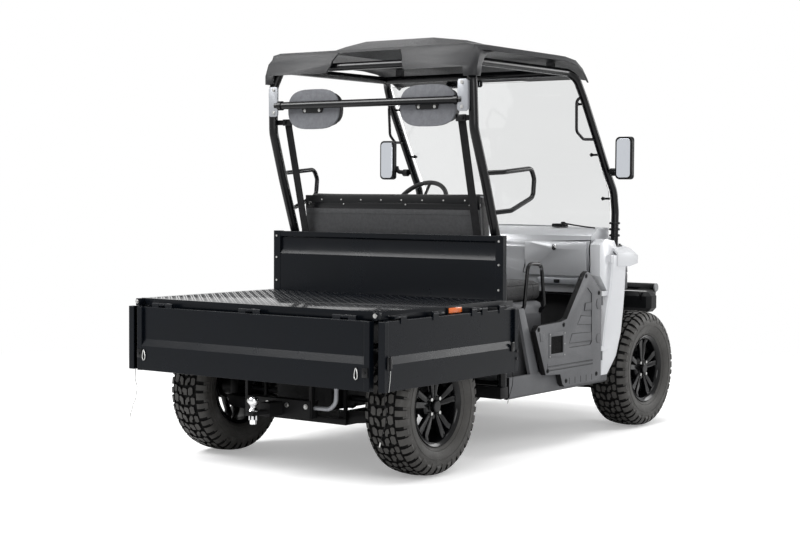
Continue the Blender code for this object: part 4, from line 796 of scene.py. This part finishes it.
# Seat belts with their reels and anchors
for label, side in SIDES:
    belt_body = BODY_OF["belt_" + label]
    dressed("belt_" + label, WEBBING, 0.0006)
    middle = side * 0.552
    reel = together(block((0.540, 0.574), (middle - 0.034, middle + 0.034), (0.896, 0.994), 0.006, 3),
                    turned([(0.0, 0.0), (0.0, 0.026), (0.010, 0.024), (0.012, 0.0)],
                           spot(0.557, middle + 0.034, 0.940), "y", 32))
    piece("belt_reel_" + label, reel, DARK_PLASTIC, belt_body)
    anchor = together(block((0.391, 0.406), (middle - 0.029, middle + 0.029), (1.676, 1.710), 0.003),
                      bolt_head(spot(0.391, middle + side * 0.012, 1.693), (-1, 0, 0), 0.018, 0.008, 6,
                                0.024))
    piece("belt_anchor_" + label, anchor, POWDER, belt_body)

# Screen, its clamps and the wiper
dressed("windscreen", SCREEN_GLASS, 0.0)
SCREEN = ((1.788, 1.1256), (1.790, 1.230), (1.768, 1.345), (1.697, 1.452), (1.582, 1.637), (1.467, 1.849),
          (1.415, 1.938))


def screen_x(z):
    for (x0, z0), (x1, z1) in zip(SCREEN, SCREEN[1:]):
        if z <= z1:
            return x0 + (x1 - x0) * (z - z0) / (z1 - z0)
    return SCREEN[-1][0]


knobs = []
for z, y in ((1.300, 0.596), (1.540, 0.596), (1.810, 0.592)):
    for label, side in SIDES:
        x = screen_x(z)
        for k in range(5):
            turn = 2 * math.pi * k / 5
            lobe = spot(x - 0.016, side * y + 0.007 * math.cos(turn), z + 0.007 * math.sin(turn))
            knobs.append(bolt_head(lobe, (-1, 0, 0), 0.0085, 0.008, 10))
        knobs.append(bolt_head(spot(x - 0.001, side * y, z), (-1, 0, 0), 0.012, 0.016, 16))
        knobs.append(block((x - 0.010, x - 0.002), (side * y, side * 0.632), (z - 0.006, z + 0.006), 0.002))
piece("screen_knobs", together(*knobs), DARK_PLASTIC, BODY_OF["windscreen"])
motor = together(block((1.700, 1.748), (-0.300, -0.382), (1.1385, 1.158), 0.005, 3),
                 turned([(0.0, 0.0), (0.0, 0.014), (0.010, 0.012), (0.012, 0.0)], spot(1.724, -0.362, 1.157),
                        "z", 24),
                 rod([spot(1.724, -0.366, 1.160), spot(1.712, -0.445, 1.150), spot(1.690, -0.520, 1.143),
                      spot(1.660, -0.600, 1.138)],
                     0.0042, bend=0.02))
piece("wiper_drive", motor, DARK_PLASTIC, BODY_OF["dashboard"])

# Mirrors
for label, side in SIDES:
    shell = block((1.618, 1.655), (side * 0.745, side * 0.848), (1.405, 1.637), 0.018, 5)
    rim = [(side * 0.7965 + a, 1.521 + b) for a, b in round_rect(0.0510, 0.1155, 0.026, 8)]
    frame_ring = plate(rim, "x", 1.6125, 1.640, 0.0050, 3)
    arm = rod([spot(1.645, side * 0.768, 1.490), spot(1.652, side * 0.735, 1.452),
               spot(1.668, side * 0.700, 1.448)], 0.0125, fine=5, bend=0.02)
    clamp = turned([(-0.0230, 0.0), (-0.0230, 0.018), (-0.020, 0.021), (0.010, 0.021), (0.014, 0.018),
                    (0.014, 0.0)],
                   spot(1.672, side * 0.700, 1.446), "y", 32)
    pivot = turned([(-0.016, 0.0), (-0.016, 0.014), (0.0, 0.017), (0.016, 0.014), (0.016, 0.0)],
                   spot(1.650, side * 0.752, 1.470), "z", 24)
    body = BODY_OF["mirror_" + label]
    piece("mirror_shell_" + label, together(shell, frame_ring, arm, clamp, pivot), DARK_PLASTIC, body, 40.0,
          ("mirror_" + label,))
    face = plate([(side * 0.7965 + a, 1.521 + b) for a, b in round_rect(0.0410, 0.1050, 0.020, 8)], "x",
                 1.6112, 1.6140, 0.0006, 1)
    piece("mirror_face_" + label, face, PALE_GLASS, body)
dressed("mirror_interior", DARK_PLASTIC, 0.0)
inner_face = plate([(a, 1.925 + b) for a, b in round_rect(0.110, 0.0155, 0.008, 6)], "x", 1.2370, 1.2385,
                   0.0004, 1)
piece("mirror_interior_face", inner_face, PALE_GLASS, BODY_OF["mirror_interior"])

# Steering wheel and column
COLUMN_TOP = spot(1.300, 0.330, 1.254)
COLUMN_DIR = Vector((0.785, 0.0, -0.620)).normalized()
grip = [(0.0130 * math.sin(2 * math.pi * k / 16),
         0.167 + 0.0130 * math.cos(2 * math.pi * k / 16)) for k in range(17)]
wheel = turned(grip, (0, 0, 0), "z", 96)
added(wheel,
      turned([(-0.035, 0.0), (-0.035, 0.030), (-0.010, 0.034), (0.006, 0.034), (0.012, 0.028), (0.014, 0.0)],
             (0, 0, 0), "z", 48))
for turn in (math.radians(90), math.radians(205), math.radians(335)):
    blade = rod([(0.02 * math.cos(turn), 0.02 * math.sin(turn), -0.006),
                 (0.168 * math.cos(turn), 0.168 * math.sin(turn), 0.0)], 0.0085, fine=4)
    added(wheel, blade)
facing = (-COLUMN_DIR).to_track_quat("Z", "Y").to_matrix().to_4x4()
bmesh.ops.transform(wheel, matrix=Matrix.Translation(COLUMN_TOP) @ facing, verts=wheel.verts)
piece("steering_wheel_grip", wheel, VINYL, BODY_OF["steering_wheel"], 45.0, ("steering_wheel",))

# Glove box, dashboard fittings
lock = turned([(0.0, 0.0), (-0.0065, 0.0), (-0.0065, 0.0080), (-0.0030, 0.0110), (-0.0030, 0.0150),
               (0.0, 0.0170), (0.001, 0.0170), (0.001, 0.0)],
              spot(1.5370, -0.415, 1.030), "x", 40)
piece("glovebox_lock", lock, CHROME, BODY_OF["glovebox_lid"])
shelf = together(block((1.556, 1.592), (-0.545, -0.300), (0.826, 0.862), 0.004),
                 block((1.552, 1.560), (-0.556, -0.540), (0.822, 0.866), 0.003))
piece("dash_lower_bracket", shelf, PLATE_SILVER, BODY_OF["dashboard"])
piece("dash_lower_catch", block((1.550, 1.558), (-0.440, -0.405), (0.834, 0.852), 0.002), DARK_PLASTIC,
      BODY_OF["dashboard"])

# Doors: bolts, tabs, vent mesh, and black marks and lines for painted shade in the grooves and at the steps
# and tabs
DOOR_FACE = 0.705
DOOR_BOLTS = ((1.383, 0.887), (1.526, 0.790), (1.150, 0.640), (0.897, 0.630), (0.990, 0.410), (1.506, 0.352),
              (1.180, 0.342))
TABS = (((1.505, 0.757), (1.540, 0.757), (1.540, 0.703), (1.508, 0.703), (1.496, 0.730)),
        ((1.509, 0.567), (1.541, 0.567), (1.541, 0.519), (1.511, 0.519), (1.499, 0.543)),
        ((0.907, 0.612), (0.955, 0.603), (0.944, 0.566), (0.917, 0.566)))
STEP_LINES = (
    ((1.380, 0.742), (1.447, 0.744), (1.447, 0.701), (1.370, 0.702)),
    ((1.333, 0.678), (1.447, 0.666), (1.447, 0.623), (1.296, 0.633)),
    ((1.238, 0.587), (1.449, 0.582), (1.449, 0.536), (1.210, 0.538)),
)
VENT = (1.016, 1.150, 0.491, 0.589)
for label, side in SIDES:
    name = "door_" + label
    face = side * DOOR_FACE
    shell = dressed(name, DOOR_GREY, 0.003)
    # The shell's faces that don't look sideways, its edges among them, take the black mesh finish, darker
    # than its face
    shell.data.materials.append(MESH_BLACK)
    for polygon in shell.data.polygons:
        if abs(polygon.normal.y) < 0.30 and polygon.area > 2e-5:
            polygon.material_index = 1
    heads = []
    for x, z in DOOR_BOLTS:
        heads.append(turned([(0.0, 0.0), (0.0, 0.0125), (side * 0.0022, 0.0115), (side * 0.0026, 0.0085),
                             (side * 0.0012, 0.0070), (side * 0.0012, 0.0)],
                            spot(x, face, z), "y", 24))
        heads.append(bolt_head(spot(x, face + side * 0.001, z), (0, side, 0), 0.0115, 0.0045))
    piece("door_bolts_" + label, together(*heads), DARK_PLASTIC, name)
    tabs = [plate(outline, "y", face - side * 0.002, face + side * 0.0022, 0.0009) for outline in TABS]
    piece("door_tabs_" + label, together(*tabs), DOOR_GREY, name)
    # Five thin black strips low on the door: painted shade in its small vertical grooves
    groove_shade_marks = [block((x - 0.0018, x + 0.0018), (face - side * 0.001, face + side * 0.0006), (0.322, 0.356),
                  0.0) for x in (1.215, 1.275, 1.335, 1.395, 1.455)]
    piece("door_painted_groove_shade_" + label, together(*groove_shade_marks), MESH_BLACK, name)
    # Thin black rods along the door's grooves and round its steps and tabs: painted shade in the grooves and
    # at the edges of the steps and tabs
    lines = [rod([spot(x, face, z) for x, z in route], 0.0011, fine=2) for route in (
        ((1.213, 0.515), (1.433, 0.515), (1.452, 0.532), (1.446, 0.789), (1.399, 0.824)),
        ((0.994, 0.4315), (1.463, 0.4315)), ((0.994, 0.4085), (1.463, 0.4085)),
        ((0.990, 0.447), (0.990, 0.407)))]
    lines += [rod([spot(x, face + side * 0.0002, z) for x, z in route], 0.0011, loop=True,
                  fine=2) for route in STEP_LINES + TABS]
    piece("door_painted_shade_lines_" + label, together(*lines), MESH_BLACK, name)
    x0, x1, z0, z1 = VENT
    rim = [block(xs, (face - side * 0.004, face + side * proud), zs, 0.0012) for xs, proud, zs in (
        ((x0 - 0.016, x0 + 0.004), 0.0025, (z0 - 0.016, z1 + 0.016)),
        ((x1 - 0.004, x1 + 0.016), 0.0025, (z0 - 0.016, z1 + 0.016)),
        ((x0, x1), 0.0022, (z0 - 0.016, z0 + 0.004)), ((x0, x1), 0.0022, (z1 - 0.004, z1 + 0.016)))]
    piece("door_vent_frame_" + label, together(*rim), DOOR_GREY, name)
    piece("door_vent_back_" + label, block((x0, x1), (face - side * 0.0079, face - side * 0.0070), (z0, z1)),
          MESH_BLACK, name)
    mesh_bars = []
    for k in range(22):
        u = x0 + (x1 - x0) * (k + 0.5) / 22
        mesh_bars.append(block((u - 0.0006, u + 0.0006), (face - side * 0.0065, face - side * 0.0045),
                               (z0, z1)))
    for k in range(16):
        w = z0 + (z1 - z0) * (k + 0.5) / 16
        mesh_bars.append(block((x0, x1), (face - side * 0.0062, face - side * 0.0050),
                               (w - 0.0006, w + 0.0006)))
    piece("door_vent_mesh_" + label, together(*mesh_bars), MESH_BLACK, name)
    screws = [bolt_head(spot(x, face + side * 0.0022, z), (0, side, 0), 0.0060, 0.0020, 8)
              for x in (x0 - 0.008, x1 + 0.008) for z in (z0 - 0.008, (z0 + z1) / 2, z1 + 0.008)]
    piece("door_vent_screws_" + label, together(*screws), ZINC, name)

# Hip hoops beside the seat
HOOP = ((0.880, 0.590, 0.700), (0.880, 0.628, 0.745), (0.912, 0.628, 0.965), (1.045, 0.628, 0.960),
        (1.078, 0.628, 0.745), (1.078, 0.590, 0.700))
piece("seat_hoops", together(*[tubed(HOOP, side, 0.0098, 0.045) for label, side in SIDES]), POWDER,
      BODY_OF["seat_base"], 50.0)

# Coil over dampers
DAMPERS = (
    ("front_dampers", 2.090, 0.420, 0.4790, 0.345, 0.660, 0.660),
    ("rear_dampers", 0.0970, 0.400, 0.3140, 0.345, 0.555, 0.4877),
)
for name, x, low_y, low_z, high_y, high_z, tie_z in DAMPERS:
    steel = [rod([spot(x, -high_y, tie_z), spot(x, high_y, tie_z)], 0.012, fine=5)]
    springs = []
    for label, side in SIDES:
        foot, head = spot(x, side * low_y, low_z), spot(x, side * high_y, high_z)
        run = head - foot
        steel += [rod([foot, head], 0.0095, fine=5),
                  rod([foot + run * 0.10, foot + run * 0.48], 0.0185, fine=6)]
        for share in (0.15, 0.83):
            seat = turned([(-0.003, 0.0), (-0.003, 0.033), (0.003, 0.033), (0.003, 0.0)], (0, 0, 0), "z", 32)
            bmesh.ops.transform(seat,
                                matrix=Matrix.Translation(foot + run * share) @ run.to_track_quat("Z",
                                    "Y").to_matrix().to_4x4(),
                                verts=seat.verts)
            steel.append(seat)
        for end, reach in ((foot, 0.018), (head, 0.020)):
            steel.append(turned([(-reach, 0.0), (-reach, 0.0175), (-reach + 0.002, 0.0192),
                                 (reach - 0.002, 0.0192), (reach, 0.0175), (reach, 0.0)],
                                end, "x", 32))
        if tie_z < high_z:
            steel.append(block((x - 0.014, x + 0.014), (side * 0.318, side * 0.338),
                               (tie_z - 0.006, high_z + 0.004), 0.002))
        turn_to = run.to_track_quat("Z", "Y").to_matrix()
        helix = []
        for k in range(6 * 18 + 1):
            angle = 2 * math.pi * k / 18
            along = 0.17 + (0.81 - 0.17) * k / (6 * 18)
            helix.append(foot + run * along + turn_to @ Vector((math.cos(angle) * 0.0285,
                math.sin(angle) * 0.0285, 0)))
        springs.append(rod(helix, 0.0048, fine=3))
    piece(name + "_bodies", together(*steel), DARK_STEEL, BODY_OF[name], 40.0, (name,))
    piece(name + "_springs", together(*springs), ZINC, BODY_OF[name], 60.0)

# Tow ball, its nut and the pipe beside the hitch
BALL_R = 0.0253
ball = [(BALL_R * math.sin(math.radians(a)), BALL_R * math.cos(math.radians(a))) for a in range(-90, 61, 10)]
ball = [(u, max(r, 0.0)) for u, r in ball] + [(0.0225, 0.0)]
tow = turned([(-0.109, 0.0), (-0.109, 0.0145), (-0.107, 0.0163), (-0.037, 0.0163), (-0.037, 0.0)],
             spot(-0.502, 0, 0.349), "z", 32)
added(tow, turned(ball, spot(-0.502, 0, 0.349), "z", 48))
added(tow,
      turned([(-0.0480, 0.0), (-0.0480, 0.0230), (-0.0440, 0.0250), (-0.0400, 0.0225), (-0.0300, 0.0140),
              (-0.015, 0.0128), (-0.015, 0.0)],
                  spot(-0.502, 0, 0.349), "z", 40))
added(tow, bolt_head(spot(-0.502, 0, 0.2615), (0, 0, 1), 0.0460, 0.0230))
piece("tow_ball", tow, CHROME, BODY_OF["tow_hitch"])
dressed("tow_hitch", DARK_STEEL, 0.001)
pipe = rod([spot(-0.300, -0.334, 0.520), spot(-0.300, -0.334, 0.350), spot(-0.300, -0.300, 0.314),
            spot(-0.300, -0.206, 0.312)], 0.0105,
           fine=5, bend=0.05)
piece("hitch_pipe", pipe, PLATE_SILVER, BODY_OF["tow_hitch"])
plate_bolts = [bolt_head(spot(-0.330, y, z), (-1, 0, 0), 0.018, 0.008, 6, 0.024) for y,
               z in ((-0.060, 0.318), (-0.176, 0.318), (0.176, 0.318), (0.060, 0.318))]
piece("hitch_bolts", together(*plate_bolts), ZINC, BODY_OF["tow_hitch"])

# Front: lamps, bumper caps and bumper ears
for label, side in SIDES:
    lamp_at = spot(2.435, side * 0.455, 0.691)
    dish = turned([(0.003, 0.0), (0.004, 0.030), (0.011, 0.047), (0.0135, 0.052), (0.0120, 0.0535),
                   (0.002, 0.0535)], lamp_at, "x", 48)
    piece("lamp_dish_" + label, dish, CHROME, BODY_OF["front_fascia"])
    lens = turned([(0.0100, 0.0), (0.0145, 0.0), (0.0135, 0.030), (0.0110, 0.0485), (0.0095, 0.0485)],
                  lamp_at, "x", 48)
    piece("lamp_lens_" + label, lens, CLEAR, BODY_OF["front_fascia"])
    cap = turned([(side * 0.546, 0.0252), (side * 0.5515, 0.0252), (side * 0.5530, 0.0235),
                  (side * 0.5535, 0.0)], spot(2.510, 0, 0.770), "y", 40)
    piece("bumper_cap_" + label, cap, GREY_CAP, BODY_OF["front_bumper"])
    ear = plate([(2.300, 0.752), (2.520, 0.752), (2.500, 0.660), (2.455, 0.650), (2.330, 0.700)], "y",
                side * 0.540, side * 0.546, 0.0015)
    piece("bumper_ear_" + label, ear, POWDER, BODY_OF["front_bumper"])
LID_CORNERS = ((-0.224, 1.066), (-0.632, 1.085), (-0.660, 0.884), (-0.200, 0.885))
LID_SIDES = tuple(zip(LID_CORNERS, LID_CORNERS[1:] + LID_CORNERS[:1]))
CHASSIS = ("chassis_rail_left", "chassis_rail_right", "cross_member_axle", "cross_member_seat",
           "cross_member_floor",
           "cross_member_toe", "cross_member_nose")
for node in CHASSIS:
    dressed(node, DARK_STEEL, 0.002)
for node, material, ease in (
    ("front_suspension", DARK_STEEL, 0.0015), ("rear_suspension", DARK_STEEL, 0.0015),
    ("drive_unit", DARK_PLASTIC, 0.0), ("knuckle_left", DARK_STEEL, 0.0015),
    ("knuckle_right", DARK_STEEL, 0.0015),
    ("floor_pan", DOOR_GREY, 0.0015), ("seat_base", DOOR_GREY, 0.0), ("battery_pack", DARK_PLASTIC, 0.003),
    ("roof", ROOF_PLASTIC, 0.002),
    ("dashboard", SILVER, 0.005), ("glovebox_lid", SILVER, 0.004), ("steering_column", DARK_STEEL, 0.0),
    ("hood", PALE_SILVER, 0.0),
    ("fender_left", PALE_SILVER, 0.009), ("fender_right", PALE_SILVER, 0.009),
    ("front_fascia", DARK_PLASTIC, 0.0),
    ("front_bumper", POWDER, 0.0),
):
    dressed(node, material, ease)
lid_line = [spot(1.54, y, z) for (y0, z0), (y1, z1) in LID_SIDES for y,
            z in ((y0 + (y1 - y0) * k / 12, z0 + (z1 - z0) * k / 12) for k in range(12))]
piping("glovebox_gap_line", bpy.data.objects["dashboard_finished"], lid_line, 0.0026, MESH_BLACK,
       BODY_OF["dashboard"], 0.0)
floor = bpy.data.objects["floor_pan_finished"]
floor.data.materials.append(DARK_PLASTIC)
for polygon in floor.data.polygons:
    if abs(polygon.center.y) < 0.640 or (abs(polygon.normal.z) > 0.9 and polygon.area > 0.1):
        polygon.material_index = 1


# Wheels
def carcass():
    """The plain body of one tyre, about the middle of its hub."""
    half = [(0.086, 0.1776), (0.0865, 0.1900), (0.098, 0.2020), (0.107, 0.2200), (0.1125, 0.2400),
            (0.1145, 0.2600),
            (0.1110, 0.2800), (0.1020, 0.2960), (0.0900, 0.3065), (0.0720, 0.3125), (0.0400, 0.3155),
            (0.0, 0.3165)]
    profile = half + [(-u, r) for u, r in reversed(half[:-1])]
    profile.append(half[0])
    return turned(profile, (0, 0, 0), "y", TYRE_STEPS)


BLOCK_OUTLINES = (
    # Corners as (share of the pitch round the tyre, place across)
    ((0.06, 0.004), (0.40, 0.004), (0.52, 0.018), (0.52, 0.030), (0.30, 0.034), (0.18, 0.022), (0.06, 0.022)),
    ((0.56, -0.022), (0.88, -0.022), (0.94, -0.010), (0.94, 0.008), (0.76, 0.012), (0.66, 0.000),
     (0.56, 0.000)),
    ((0.06, -0.006), (0.28, -0.006), (0.46, -0.020), (0.50, -0.036), (0.28, -0.036), (0.20, -0.024),
     (0.06, -0.022)),
    ((0.58, 0.014), (0.80, 0.014), (0.96, 0.026), (1.00, 0.040), (0.78, 0.042), (0.70, 0.030), (0.58, 0.028)),
    ((0.20, 0.040), (0.56, 0.036), (0.66, 0.050), (0.62, 0.066), (0.26, 0.068), (0.16, 0.054)),
    ((0.58, -0.028), (0.90, -0.026), (1.02, -0.040), (0.98, -0.056), (0.66, -0.058), (0.54, -0.044)),
    ((0.12, -0.042), (0.44, -0.042), (0.50, -0.054), (0.46, -0.068), (0.14, -0.068), (0.06, -0.056)),
    ((0.72, 0.048), (1.04, 0.046), (1.10, 0.058), (1.06, 0.070), (0.76, 0.070), (0.68, 0.060)),
)
TREAD_CROWN = ((0.0, 0.3300), (0.050, 0.3268), (0.075, 0.3225), (0.092, 0.3170), (0.104, 0.3060),
               (0.1125, 0.2900), (0.1155, 0.2720))
TREAD_PITCHES = 21
TYRE_STEPS = 90
LUG_DEPTH = 0.0165


def crown_at(u):
    u = abs(u)
    for (u0, r0), (u1, r1) in zip(TREAD_CROWN, TREAD_CROWN[1:]):
        if u <= u1:
            return r0 + (r1 - r0) * (u - u0) / (u1 - u0)
    return TREAD_CROWN[-1][1]


def tread_module():
    """The blocks of one pitch, standing out from the carcass to the tyre's full size."""
    bm = bmesh.new()
    pitch = 2 * math.pi / TREAD_PITCHES

    def point(share, across, sunk):
        angle = share * pitch
        r = crown_at(across) - sunk
        return Vector((math.sin(angle) * r, across, math.cos(angle) * r))

    for outline in BLOCK_OUTLINES:
        middle = (sum(a for a, b in outline) / len(outline), sum(b for a, b in outline) / len(outline))
        low = [bm.verts.new(point(a, b, LUG_DEPTH)) for a, b in outline]
        high = [bm.verts.new(point(middle[0] + (a - middle[0]) * 0.92, middle[1] + (b - middle[1]) * 0.90,
                                   0.0)) for a, b in outline]
        bm.faces.new(high)
        for k in range(len(low)):
            n = (k + 1) % len(low)
            bm.faces.new((low[k], low[n], high[n], high[k]))
    for side in (1, -1):
        for start, width, reach in ((0.04 if side > 0 else 0.30, 0.44, 0.2700),
                                    (0.56 if side > 0 else 0.82, 0.36, 0.2860)):
            across = [(0.076, 0.3224), (0.092, 0.3170), (0.1040, 0.3060), (0.1125, 0.2900), (0.1155, reach)]
            rows = []
            for u, r in across:
                row = []
                for share, sunk in ((start, 0.014), (start + 0.04, 0.0), (start + width - 0.04, 0.0),
                                    (start + width, 0.014)):
                    angle = share * pitch
                    row.append(bm.verts.new(Vector((math.sin(angle) * (r - sunk), side * (u - sunk * 0.35),
                                                    math.cos(angle) * (r - sunk)))))
                rows.append(row)
            for first, second in zip(rows, rows[1:]):
                for k in range(3):
                    bm.faces.new((first[k], first[k + 1], second[k + 1], second[k]))
            bm.faces.new(list(rows[0]))
            bm.faces.new(list(rows[-1]))
    bmesh.ops.recalc_face_normals(bm, faces=bm.faces)
    return bm


def tyre_shape():
    whole = carcass()
    blocks = tread_module()
    bmesh.ops.spin(blocks, geom=list(blocks.verts) + list(blocks.edges) + list(blocks.faces), cent=(0, 0, 0),
                   axis=(0, 1, 0),
                   angle=2 * math.pi * (TREAD_PITCHES - 1) / TREAD_PITCHES, steps=TREAD_PITCHES - 1,
                   use_duplicate=True)
    added(whole, blocks)
    for r, u in ((0.2500, 0.1140), (0.2080, 0.1010)):
        ridge = [(u - 0.004, r - 0.003), (u + 0.0012, r - 0.0018), (u + 0.0012, r + 0.0018),
                 (u - 0.004, r + 0.003)]
        added(whole, turned(ridge, (0, 0, 0), "y", TYRE_STEPS))
        added(whole, turned([(-a, b) for a, b in ridge], (0, 0, 0), "y", TYRE_STEPS))
    return whole


def spoke_blade(lean):
    """One curved blade of a pair, from the hub to the rim."""
    centre_line = [(0.040, 0.20), (0.075, 0.185), (0.110, 0.175), (0.145, 0.180), (0.172, 0.205)]
    half = [0.0070, 0.0115, 0.0140, 0.0145, 0.0150]
    left, right = [], []
    for (r, a), w in zip(centre_line, half):
        left.append((r, lean * a + w / r))
        right.append((r, lean * a - w / r))
    bm = bmesh.new()
    ring = [bm.verts.new((math.sin(a) * r, 0.050, math.cos(a) * r)) for r, a in left + list(reversed(right))]
    face = bm.faces.new(ring)
    top = bmesh.ops.extrude_face_region(bm, geom=[face])
    verts = [v for v in top["geom"] if isinstance(v, bmesh.types.BMVert)]
    for v in verts:
        r = math.hypot(v.co.x, v.co.z)
        v.co.y = 0.0800 if r > 0.15 else 0.0720 if r > 0.09 else 0.0700
    bmesh.ops.recalc_face_normals(bm, faces=bm.faces)
    return eased(bm, 0.0022, 2, 45.0)


def rim_shape():
    lip = 0.0865
    barrel = [(0.0940, 0.1880), (0.0930, 0.1900), (lip, 0.1900), (lip, 0.1772), (-lip, 0.1772),
              (-lip, 0.1900), (-0.0930, 0.1900),
              (-0.0940, 0.1880), (-0.0860, 0.1700), (-0.0500, 0.1660), (0.0500, 0.1620), (0.0780, 0.1660),
              (0.0880, 0.1730), (0.0940, 0.1880)]
    whole = turned(barrel, (0, 0, 0), "y", 72)
    hub = [(0.0303, 0.0), (0.0303, 0.0660), (0.0560, 0.0680), (0.0640, 0.0600), (0.0660, 0.0480),
           (0.0640, 0.0340), (0.0660, 0.0300),
           (0.0860, 0.0280), (0.0890, 0.0240), (0.0895, 0.0)]
    added(whole, turned(hub, (0, 0, 0), "y", 48))
    for k in range(5):
        for lean in (1, -1):
            blade = spoke_blade(lean)
            bmesh.ops.rotate(blade, cent=(0, 0, 0), matrix=Matrix.Rotation(2 * math.pi * k / 5, 3, "Y"),
                             verts=blade.verts)
            added(whole, blade)
    return whole


def nut_ring():
    whole = bmesh.new()
    for k in range(4):
        a = 2 * math.pi * (k + 0.5) / 4
        added(whole, bolt_head((math.sin(a) * 0.047, 0.0640, math.cos(a) * 0.047), (0, 1, 0), 0.019, 0.016))
    return whole


def moved_copy(bm, centre, side):
    made = bm.copy()
    if side < 0:
        mirrored(made)
    bmesh.ops.translate(made, vec=centre, verts=made.verts)
    return made


tyre_pattern, rim_pattern, nut_pattern = tyre_shape(), rim_shape(), nut_ring()
for label, x, side in (("front_left", FRONT_AXLE, 1), ("front_right", FRONT_AXLE, -1), ("rear_left", 0.0, 1),
                       ("rear_right", 0.0, -1)):
    hub = spot(x, side * TRACK_HALF, TYRE_R)
    end, hand = label.split("_")
    body = end + "_wheel_" + hand
    tyre = piece("tyre_" + label + "_treaded", moved_copy(tyre_pattern, hub, side), RUBBER, body, 30.0,
                 ("tyre_" + label,))
    # The groove floors and the sides of the tread blocks take the much darker rubber: painted shade in the
    # grooves
    tyre.data.materials.append(PAINTED_GROOVE_SHADE)
    for polygon in tyre.data.polygons:
        away = polygon.center - hub
        reach = math.hypot(away.x, away.z)
        if 0.290 < reach < crown_at(away.y) - 0.003:
            polygon.material_index = 1
    piece("rim_" + label + "_spoked", moved_copy(rim_pattern, hub, side), GLOSS_BLACK, body, 35.0,
          ("rim_" + label,))
    piece("nuts_" + label, moved_copy(nut_pattern, hub, side), ZINC, body)


# Studio
def studio():
    bm = bmesh.new()
    bmesh.ops.create_circle(bm, cap_ends=True, segments=96, radius=60.0)
    mesh = bpy.data.meshes.new("studio_floor")
    bm.to_mesh(mesh)
    bm.free()
    floor = bpy.data.objects.new("studio_floor", mesh)
    bpy.context.scene.collection.objects.link(floor)
    made = bpy.data.materials.new("studio_white")
    made.use_nodes = True
    tree = made.node_tree
    shader = tree.nodes["Principled BSDF"]
    shader.inputs["Base Color"].default_value = (0.86, 0.86, 0.86, 1.0)
    shader.inputs["Roughness"].default_value = 0.7
    shader.inputs["Specular IOR Level"].default_value = 0.1
    path = wired(tree, "ShaderNodeLightPath")
    seen = wired(tree, "ShaderNodeMath", (),
                 ((0, path.outputs["Is Camera Ray"]), (1, path.outputs["Is Transmission Ray"])),
                 operation="ADD")
    white = wired(tree, "ShaderNodeEmission", (("Strength", 0.30),))
    both = wired(tree, "ShaderNodeAddShader", (), ((0, shader.outputs[0]), (1, white.outputs[0])))
    choice = wired(tree, "ShaderNodeMixShader", (),
                   ((0, seen.outputs[0]), (1, shader.outputs[0]), (2, both.outputs[0])))
    place = wired(tree, "ShaderNodeTexCoord")
    reach = wired(tree, "ShaderNodeVectorMath", (), ((0, place.outputs["Object"]),), operation="LENGTH")
    far = wired(tree, "ShaderNodeMapRange", (("From Min", 2.8), ("From Max", 5.5)),
                (("Value", reach.outputs["Value"]),))
    blank = wired(tree, "ShaderNodeEmission", (("Strength", 1.0),))
    final = wired(tree, "ShaderNodeMixShader", (),
                  ((0, far.outputs[0]), (1, choice.outputs[0]), (2, blank.outputs[0])))
    tree.links.new(final.outputs[0], tree.nodes["Material Output"].inputs["Surface"])
    mesh.materials.append(made)

    world = bpy.data.worlds.new("studio_world")
    world.use_nodes = True
    bpy.context.scene.world = world
    tree = world.node_tree
    back = tree.nodes["Background"]
    back.inputs["Color"].default_value = (1.0, 1.0, 1.0, 1.0)
    path = wired(tree, "ShaderNodeLightPath")
    seen = wired(tree, "ShaderNodeMath", (),
                 ((0, path.outputs["Is Camera Ray"]), (1, path.outputs["Is Transmission Ray"])),
                 operation="ADD")
    shiny = wired(tree, "ShaderNodeMath", ((1, 0.60),),
                  ((0, path.outputs["Is Glossy Ray"]), (2, seen.outputs[0])),
                  operation="MULTIPLY_ADD")
    level = wired(tree, "ShaderNodeMapRange", (("To Min", 0.45), ("To Max", 1.0)),
                  (("Value", shiny.outputs[0]),))
    tree.links.new(level.outputs[0], back.inputs["Strength"])

    for name, place, aim, size, power in (
        ("key_softbox", (-4.2, 3.6, 5.2), (0.0, 0.0, 0.6), 3.0, 420.0),
        ("top_softbox", (0.3, -0.4, 5.4), (0.0, 0.0, 0.0), 4.0, 260.0),
        ("front_fill", (-4.5, -5.5, 3.0), (0.0, 0.0, 0.7), 3.5, 150.0),
        ("side_softbox", (4.6, -3.0, 2.3), (0.2, -0.8, 0.5), 2.0, 80.0),
    ):
        data = bpy.data.lights.new(name, "AREA")
        data.size = size
        data.energy = power
        lamp = bpy.data.objects.new(name, data)
        lamp.matrix_world = Matrix.Translation(place) @ (Vector(aim) - Vector(place)).to_track_quat("-Z",
            "Y").to_matrix().to_4x4()
        bpy.context.scene.collection.objects.link(lamp)


studio()
